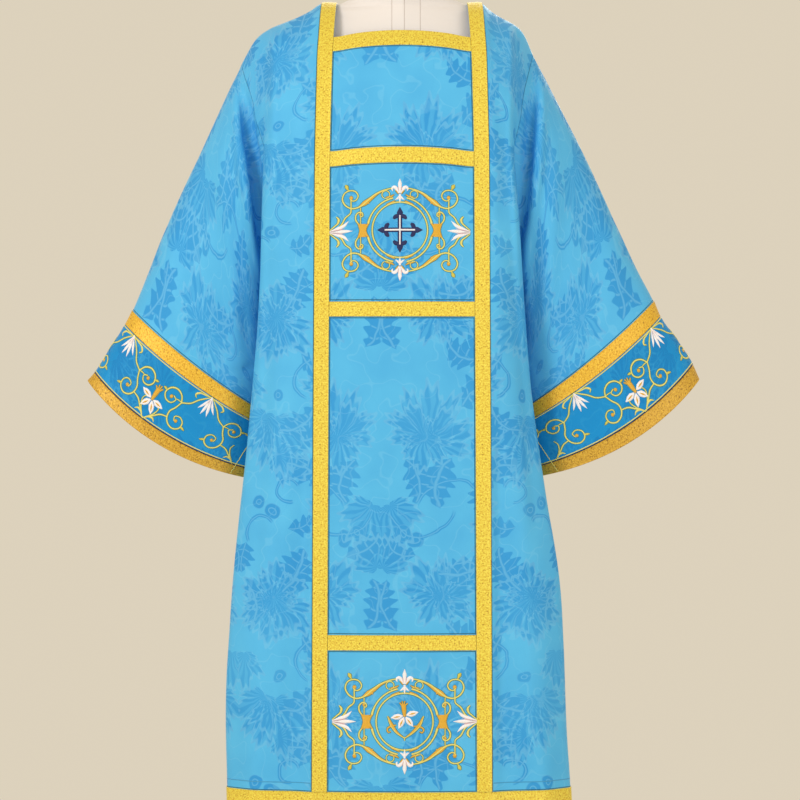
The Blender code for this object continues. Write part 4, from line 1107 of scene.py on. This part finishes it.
def cuffStrokes(firstLily, phase):
    made = {"pale": [], "gold": [], "bud": [], "white": [], "rose": []}
    m = cuffMotif
    half = [(color, (m[line], widths, high)) for color, line, widths, high in (
        ("pale", "stem", [0.6, 0.8, 0.8, 0.7], 0.8), ("pale", "upperScroll", [0.8, 0.9, 0.8, 0.6], 0.8),
        ("pale", "lowerScroll", [0.8, 0.9, 0.8, 0.6], 0.8), ("pale", "foot", [0.7, 0.9, 0.8, 0.6], 0.8),
        ("pale", "footTendril", [0.5, 0.8, 1.2, 0.4], 0.8),
        ("pale", "topTendril", [0.5, 0.8, 0.8, 1.3, 0.4], 0.8),
        ("pale", "flowerTendril", [0.5, 0.7, 0.5], 0.7), ("pale", "scrollTie", [0.5, 0.6, 0.3], 0.7),
        ("bud", "upperBud", [0.6, 2.0, 0.4], 0.9), ("bud", "lowerBud", [0.6, 2.0, 0.4], 0.9))]
    half += [("gold", dot(50.4, 31.2, 2.6)), ("gold", dot(28.4, 57.2, 2.6))]
    for number in range(4):
        axis = firstLily + number * phase
        scale = phase / m["period"]
        for color, (path, widths, high) in half:
            path = np.asarray(path, float)
            for sign in (1, -1):
                made[color].append((path * [sign * scale, 1] + [axis, 0], widths, high))
        for tipX, tipY, wide in ((-14.0, 22.5, 1.9), (-5.6, 30.0, 2.3), (4.4, 30.5, 2.2), (12.0, 24.5, 1.9)):
            path = [(axis + tipX * x, tipY * y) for x, y in ((0.3, 0.4), (0.66, 0.76), (1, 1))]
            made["white"].append(([(axis, 0.8)] + path, [0.5, 0.9, wide, wide * 0.9, 0.2], 1.1))
        for sign in (-1, 1):
            path = [(axis + sign * x, y) for x, y in ((0.6, 2.0), (2.0, 12.0), (3.4, 18.0))]
            made["rose"].append((path, [0.3, 0.5, 0.2], 1.4))
        if number < 3:  # the closing seam takes the fourth flower's place
            flowerWhite, flowerGold = narcissus(axis + phase / 2 + 1.0, 50.0, 1.06, -1.0)
            made["white"] += flowerWhite
            made["gold"] += flowerGold
    return made


# Yellow, gold and bud strokes lie on a dark teal-green band a little wider than they are: painted shade round
# the raised strokes
def sewDesign(prefix, design, find, base):
    design["pale"] = [(path, [w * 1.3 for w in widths], high) for path, widths, high in design["pale"]]
    shadedStrokes = design["pale"] + design["gold"] + design["bud"]
    # a dark band under each of these strokes, painted shade at its edges
    design["strokeShade"] = [(path, [w + 0.75 for w in widths], 0.35) for path, widths, high in shadedStrokes]
    made = []
    for color, strokes in design.items():
        if strokes:
            step = 2.2 if color == "strokeShade" else 1.6
            made.append(threadPiece(prefix + color.title(), strokes, find, threadLooks[color], base, step))
    return made


def medallionPiece(prefix, centreX, centreZ, scale, inner):
    column = bodyCloth["points"][:, bodyCloth["centre"]]
    frontRows = bodyCloth["lines"] < ridge
    downAt = np.interp(centreZ, column[frontRows, 2], bodyCloth["down"][frontRows])

    # the cloth's down grows from the front hem upwards, so y up adds to it
    def find(across, up):
        return onBody(centreX + across * scale, downAt + up * scale)

    design = medallionStrokes()
    for color, strokes in inner.items():
        design[color] = design[color] + strokes
    return sewDesign(prefix, design, find, 0.0)


sewnOn["frontPanel"] = medallionPiece("upperMedallion", -0.003, 1.0988, 1.0, crossStrokes())
sewnOn["frontPanel"] += medallionPiece("lowerMedallion", 0.0038, 0.3826, 1.03, flowerStrokes())
print("medallions")
for side, cloth in sleeveCloth.items():
    ring = int(round(fineIndex(cloth["lines"], 10.0)))
    girth = (cloth["across"][ring, -1] - cloth["across"][ring, 0]) * 1000
    design = cuffStrokes(-40.0 - girth / 4, girth / 4)
    sewnOn[side + "CuffBand"] = sewDesign(
        side + "Cuff", design, lambda along, down, cloth=cloth: onCuff(cloth, along, down), lift + sewnThick)
print("cuff embroidery")


# Edging threads: dark teal lines beside the galloons and the cuffs' galloons, which are painted shadow of
# their raised edges, and a pale cord along both edges of the cuffs' bands

def cordOn(name, surface, runs, look, half, high, base):
    verts, faces, spots = [], [], []
    start = 0
    for lineAt, columnAt in runs:
        points, normals = readFine(surface, np.asarray(lineAt, float), np.asarray(columnAt, float))
        way = np.gradient(points, axis=0)
        way /= np.maximum(np.linalg.norm(way, axis=1, keepdims=True), 1e-9)
        side = np.cross(normals, way)
        turns = np.radians([180, 120, 60, 0, 0, 180])
        offs = np.cos(turns) * half
        rise = np.array([0.2, 1, 1, 0.2, -0.6, -0.6]) * high
        ring = (points[:, None] + side[:, None] * offs[None, :, None]
                + normals[:, None] * (base + rise)[None, :, None])
        count = len(points)
        faces += tubeFaces(start, count, 6)
        verts.append(ring.reshape(-1, 3))
        run = np.concatenate([[0], np.cumsum(np.linalg.norm(np.diff(points, axis=0), axis=1))])
        spot = [np.tile(offs, (count, 1)), np.repeat(run[:, None], 6, axis=1), np.zeros((count, 6))]
        spots.append(np.stack(spot, -1).reshape(-1, 3))
        start += count * 6
    piece = newPiece(name, np.concatenate(verts), faces, look, np.concatenate(spots), 80)
    return piece


def bodyIndex(places, columnsToo=False):
    return fineIndex(bodyCloth["columns" if columnsToo else "lines"], places)


# places are in lines and columns: runs beside the galloons stop at the cross bars
edgeRuns = []
inset = 0.035  # just outside the galloon's edge
for column, shiftOut in ((leftOuter, -inset), (leftInner, inset * 1.05),
                         (rightInner, -inset * 1.05), (rightOuter, inset)):
    low, high = 1.02, 60.98
    spans = [(low, high)] if column in (leftOuter, rightOuter) else [
        (low, 6), (7, 16), (17, 22), (23, 27), (35, 39), (40, 45), (46, 55), (56, high)]
    for first, last in spans:
        places = bodyPlaces(first + 0.02, last - 0.02)
        edgeRuns.append((bodyIndex(places), bodyIndex(np.full(len(places), column + shiftOut), True)))
for top, bottom in ((3, 4), (8, 9), (14, 15), (24, 25)):
    for sign in (-1, 1):
        for row, out in ((top, -0.05), (bottom, 0.035)):
            if row == 3:
                continue
            places = columnPlaces(leftInner + 0.03, rightInner - 0.03)
            line = np.full(len(places), ridge + sign * (row + out))
            edgeRuns.append((bodyIndex(line), bodyIndex(places, True)))
for line in (1.045, 60.955):
    places = columnPlaces(0.05, lastColumn - 0.05)
    edgeRuns.append((bodyIndex(np.full(len(places), line)), bodyIndex(places, True)))
# dark teal thread beside the galloons and above the hem bands: painted shadow of their raised edges
sewnOn["frontPanel"].append(
    cordOn("galloonShadowThread", bodyCloth, edgeRuns, threadLooks["paintedShadow"], 0.0006, 0.00025, 0.0001))
# the turned hem's stitching shows on the side panels as a raised cord, whose darker blue is painted shade of
# the hem's crease
hemRuns = []
for line in (1.5, 60.5):
    for low, high in ((0.1, leftOuter - 0.1), (rightOuter + 0.1, lastColumn - 0.1)):
        places = columnPlaces(low, high)
        hemRuns.append((bodyIndex(np.full(len(places), line)), bodyIndex(places, True)))
sewnOn["frontPanel"].append(
    cordOn("hemStitchesAndCreaseShade", bodyCloth, hemRuns, threadLooks["creaseShade"], 0.0007, 0.0002, 0.0001))
# where each cuff's closing seam lies on its front, halfway down the band and at the rim, as x from the pole
cuffSeam = {"left": (-0.229, -0.255), "right": (0.203, 0.232)}
for side, cloth in sleeveCloth.items():
    steps = np.arange(len(cloth["columns"]), dtype=float)
    band = sewnOn[side + "CuffBand"]

    def wholeRun(ring):
        return np.full(len(steps), fineIndex(cloth["lines"], ring)), steps

    band.append(cordOn(side + "CuffPiping", cloth, [wholeRun(9.05), wholeRun(10.94)], threadLooks["pale"],
                       0.0008, 0.0007, lift + sewnThick))
    band.append(cordOn(side + "CuffDarkLine", cloth, [wholeRun(10.985)], threadLooks["navy"],
                       0.0006, 0.0004, lift + sewnThick))
    rows = np.linspace(fineIndex(cloth["lines"], 10.0), fineIndex(cloth["lines"], 11.92), 24)
    front = np.flatnonzero(cloth["columns"] <= body["underarm"])
    wanted = np.linspace(*cuffSeam[side], len(rows))
    reach = np.abs(cloth["points"][rows.astype(int)][:, front, 0] - poleX)
    found = np.array([np.interp(abs(x), row, front) for x, row in zip(wanted, reach)])
    band.append(cordOn(side + "CuffSeam", cloth, [(rows, found)], threadLooks["pale"],
                       0.0006, 0.0003, lift + 0.0013))
    # dark teal thread on the sleeve beside the cuff's upper galloon: painted shadow of its raised edge
    sewnOn[side + "Sleeve"] = [
        cordOn(side + "CuffShadowThread", cloth, [wholeRun(7.965)], threadLooks["paintedShadow"],
               0.0006, 0.00025, 0.0001)]
print("edging threads")


# The dress form and its stand

form = {
    # z, half width left and right, depth before and behind the axis, and how square the section is
    "sections": [
        (0.78, 0.148, 0.148, 0.084, 0.086, 2.2), (0.83, 0.148, 0.148, 0.086, 0.09, 2.2),
        (0.88, 0.14, 0.14, 0.083, 0.084, 2.2), (0.94, 0.129, 0.129, 0.078, 0.074, 2.2),
        (1.0, 0.133, 0.133, 0.083, 0.074, 2.2), (1.07, 0.142, 0.142, 0.092, 0.08, 2.2),
        (1.14, 0.147, 0.146, 0.098, 0.086, 2.2), (1.21, 0.15, 0.148, 0.1, 0.088, 2.2),
        (1.27, 0.158, 0.154, 0.095, 0.088, 2.2), (1.32, 0.169, 0.162, 0.085, 0.084, 2.1),
        (1.36, 0.178, 0.17, 0.076, 0.076, 2.0), (1.385, 0.18, 0.171, 0.07, 0.07, 1.9),
        (1.4, 0.177, 0.168, 0.064, 0.064, 1.6), (1.412, None, None, 0.059, 0.06, 1.35),
        (1.422, None, None, 0.056, 0.057, 1.25), (1.431, None, None, 0.053, 0.055, 1.2),
        (1.4375, 0.116, 0.116, 0.05, 0.052, 1.15), (1.444, 0.093, 0.093, 0.051, 0.053, 1.25),
        (1.452, 0.076, 0.076, 0.052, 0.054, 1.5), (1.463, 0.065, 0.065, 0.053, 0.0555, 1.9),
        (1.478, 0.059, 0.059, 0.0535, 0.057, 2.0), (1.5, 0.0575, 0.0575, 0.053, 0.0565, 2.0),
        (1.51, 0.057, 0.057, 0.0525, 0.056, 2.0)],
    "seat": 0.0005,
    "sides": 96,
    "placket": (-0.015, 0.027),  # x of its two lines at the front of the neck
    "seamX": 0.0035,
}


# How far the form reaches at a height just under the cloth's shoulder row
def seatReach(z, left):
    row = halfRow(bodyRows()[0], True, left)[:, [0, 2]]
    under = []
    for before, point, after in zip(row, row[1:], row[2:]):
        leans = []
        for a, b in ((before, point), (point, after)):
            lean = np.array([a[1] - b[1], b[0] - a[0]])
            leans.append(lean / np.linalg.norm(lean))
        mitre = leans[0] + leans[1]
        mitre /= np.linalg.norm(mitre)
        under.append(point - mitre * (clothWall + form["seat"]) / (mitre @ leans[1]))
    under = np.array(sorted(under, key=lambda p: p[1]))
    return float(np.interp(z, under[:, 1], under[:, 0]))


def formSections():
    table = []
    for z, left, right, frontY, backY, power in form["sections"]:
        table.append((z, left or seatReach(z, True), right or seatReach(z, False), frontY, backY, power))
    return np.array(table)


def formLoop(section, count):
    z, left, right, frontY, backY, power = section
    turn = 2 * np.pi * np.arange(count) / count
    across, deep = np.cos(turn), np.sin(turn)
    x = np.sign(across) * np.abs(across)**(2 / power) * np.where(across > 0, right, left)
    y = np.sign(deep) * np.abs(deep)**(2 / power) * np.where(deep > 0, backY, frontY)
    return np.column_stack([x + poleX, y, np.full(count, z)])


def loopsPiece(name, loops, look):
    faces = tubeFaces(0, len(loops), loops.shape[1])
    return newPiece(name, loops.reshape(-1, 3), faces, look, np.zeros((loops.size // 3, 3)), 45)


sections = formSections()
coarseRows = np.arange(len(sections))
fineRows = np.linspace(0, len(sections) - 1, 133)
fineSections = np.column_stack([np.interp(fineRows, coarseRows, column) for column in sections.T])
formLoops = np.array([formLoop(section, form["sides"]) for section in fineSections])
dressForm = loopsPiece("dressForm", formLoops, looks["linen"])
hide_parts("form_torso")
formSkin = {"points": formLoops, "normals": -gridNormals(formLoops)}
frontHalf = np.arange(form["sides"] // 2, form["sides"])
seamRuns = []
for x in (form["seamX"], *form["placket"]):
    rows = np.flatnonzero((fineSections[:, 0] > 0.8) & (fineSections[:, 0] < 1.506))
    found = [np.interp(x + poleX, formLoops[row, frontHalf, 0], frontHalf) for row in rows]
    seamRuns.append((rows, found))
cordOn("formSeams", formSkin, seamRuns, threadLooks["linen"], 0.0005, 0.0002, 0.0001)


def turned(name, profile, height, look, node, sides=96):
    path = smoothPath(np.array(profile), 0.004) if len(profile) > 2 else np.array(profile)
    turns = 2 * np.pi * np.arange(sides) / sides
    across, deep = np.cos(turns), np.sin(turns)
    loops = np.array([
        np.column_stack([poleX + r * across, r * deep, np.full(sides, height + z)]) for r, z in path])
    piece = loopsPiece(name, loops, look)
    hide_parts(node)


baseTop, formFoot, formTop = 0.075, form["sections"][0][0], form["sections"][-1][0]
turned("neckCap", [(0.05, 0.0), (0.054, 0.003), (0.054, 0.008), (0.044, 0.014), (0.024, 0.0172)],
       formTop + seam, looks["wood"], "neck_cap")
turned("poleTube", [(0.015, 0.0), (0.015, formFoot - seam - baseTop - seam)], baseTop + seam,
       looks["metal"], "pole")
turned("basePlate", [(0.19, 0.0), (0.1955, 0.005), (0.194, 0.012), (0.18, 0.018), (0.12, 0.026),
                     (0.06, 0.033), (0.032, 0.042), (0.026, 0.056), (0.024, baseTop)],
       0.0, looks["metal"], "base")
print("form and stand")


# Lights, floor and camera

def addLight(name, place, target, size, power, color):
    lamp = bpy.data.lights.new(name, "AREA")
    lamp.shape = "DISK"
    lamp.size = size
    lamp.energy = power
    lamp.color = color
    holder = bpy.data.objects.new(name, lamp)
    holder.visible_camera = False
    holder.location = place
    away = np.array(target) - np.array(place)
    tilt, turn = math.atan2(math.hypot(away[0], away[1]), -away[2]), math.atan2(-away[0], away[1])
    holder.rotation_euler = (tilt, 0, turn)
    bpy.context.scene.collection.objects.link(holder)


addLight("keyLight", (-4.0, -4.6, 3.0), (0, 0, 0.8), 2.2, 172, (1.0, 0.99, 0.97))
addLight("fillLight", (3.6, -4.8, 0.8), (0, 0, 0.6), 3.0, 88, (0.92, 0.96, 1.0))
addLight("backLight", (0.6, 3.2, 2.8), (0, 0, 0.9), 2.4, 50, (1.0, 0.98, 0.95))

world = bpy.data.worlds.new("paleWorld")
world.use_nodes = True
world.node_tree.nodes["Background"].inputs["Color"].default_value = (1.0, 0.89, 0.7, 1)
world.node_tree.nodes["Background"].inputs["Strength"].default_value = 0.72
bpy.context.scene.world = world
bpy.context.scene.view_settings.view_transform = "Standard"  # the dyes' own colours, not filmic ones

turns = np.linspace(0, 2 * np.pi, 64, endpoint=False)
floorMesh = bpy.data.meshes.new("floor")
floorRadius = 1.8
rim = [(floorRadius * math.cos(t), floorRadius * math.sin(t), 0) for t in turns]
floorMesh.from_pydata(rim, [], [tuple(range(len(rim)))])
floorLook, _, _ = newLook("floorLook", linear("CDC4B0"), 0.8)
floorMesh.materials.append(floorLook)
floor = bpy.data.objects.new("floor", floorMesh)
bpy.context.scene.collection.objects.link(floor)

lens = bpy.data.cameras.new("photoCamera")
lens.lens = 135.6
lens.sensor_width = 36
camera = bpy.data.objects.new("photoCamera", lens)
camera.location = (poleX - 0.0029, -4.515, 0.851)
camera.rotation_euler = (math.radians(90), 0, 0)
bpy.context.scene.collection.objects.link(camera)
bpy.context.scene.camera = camera
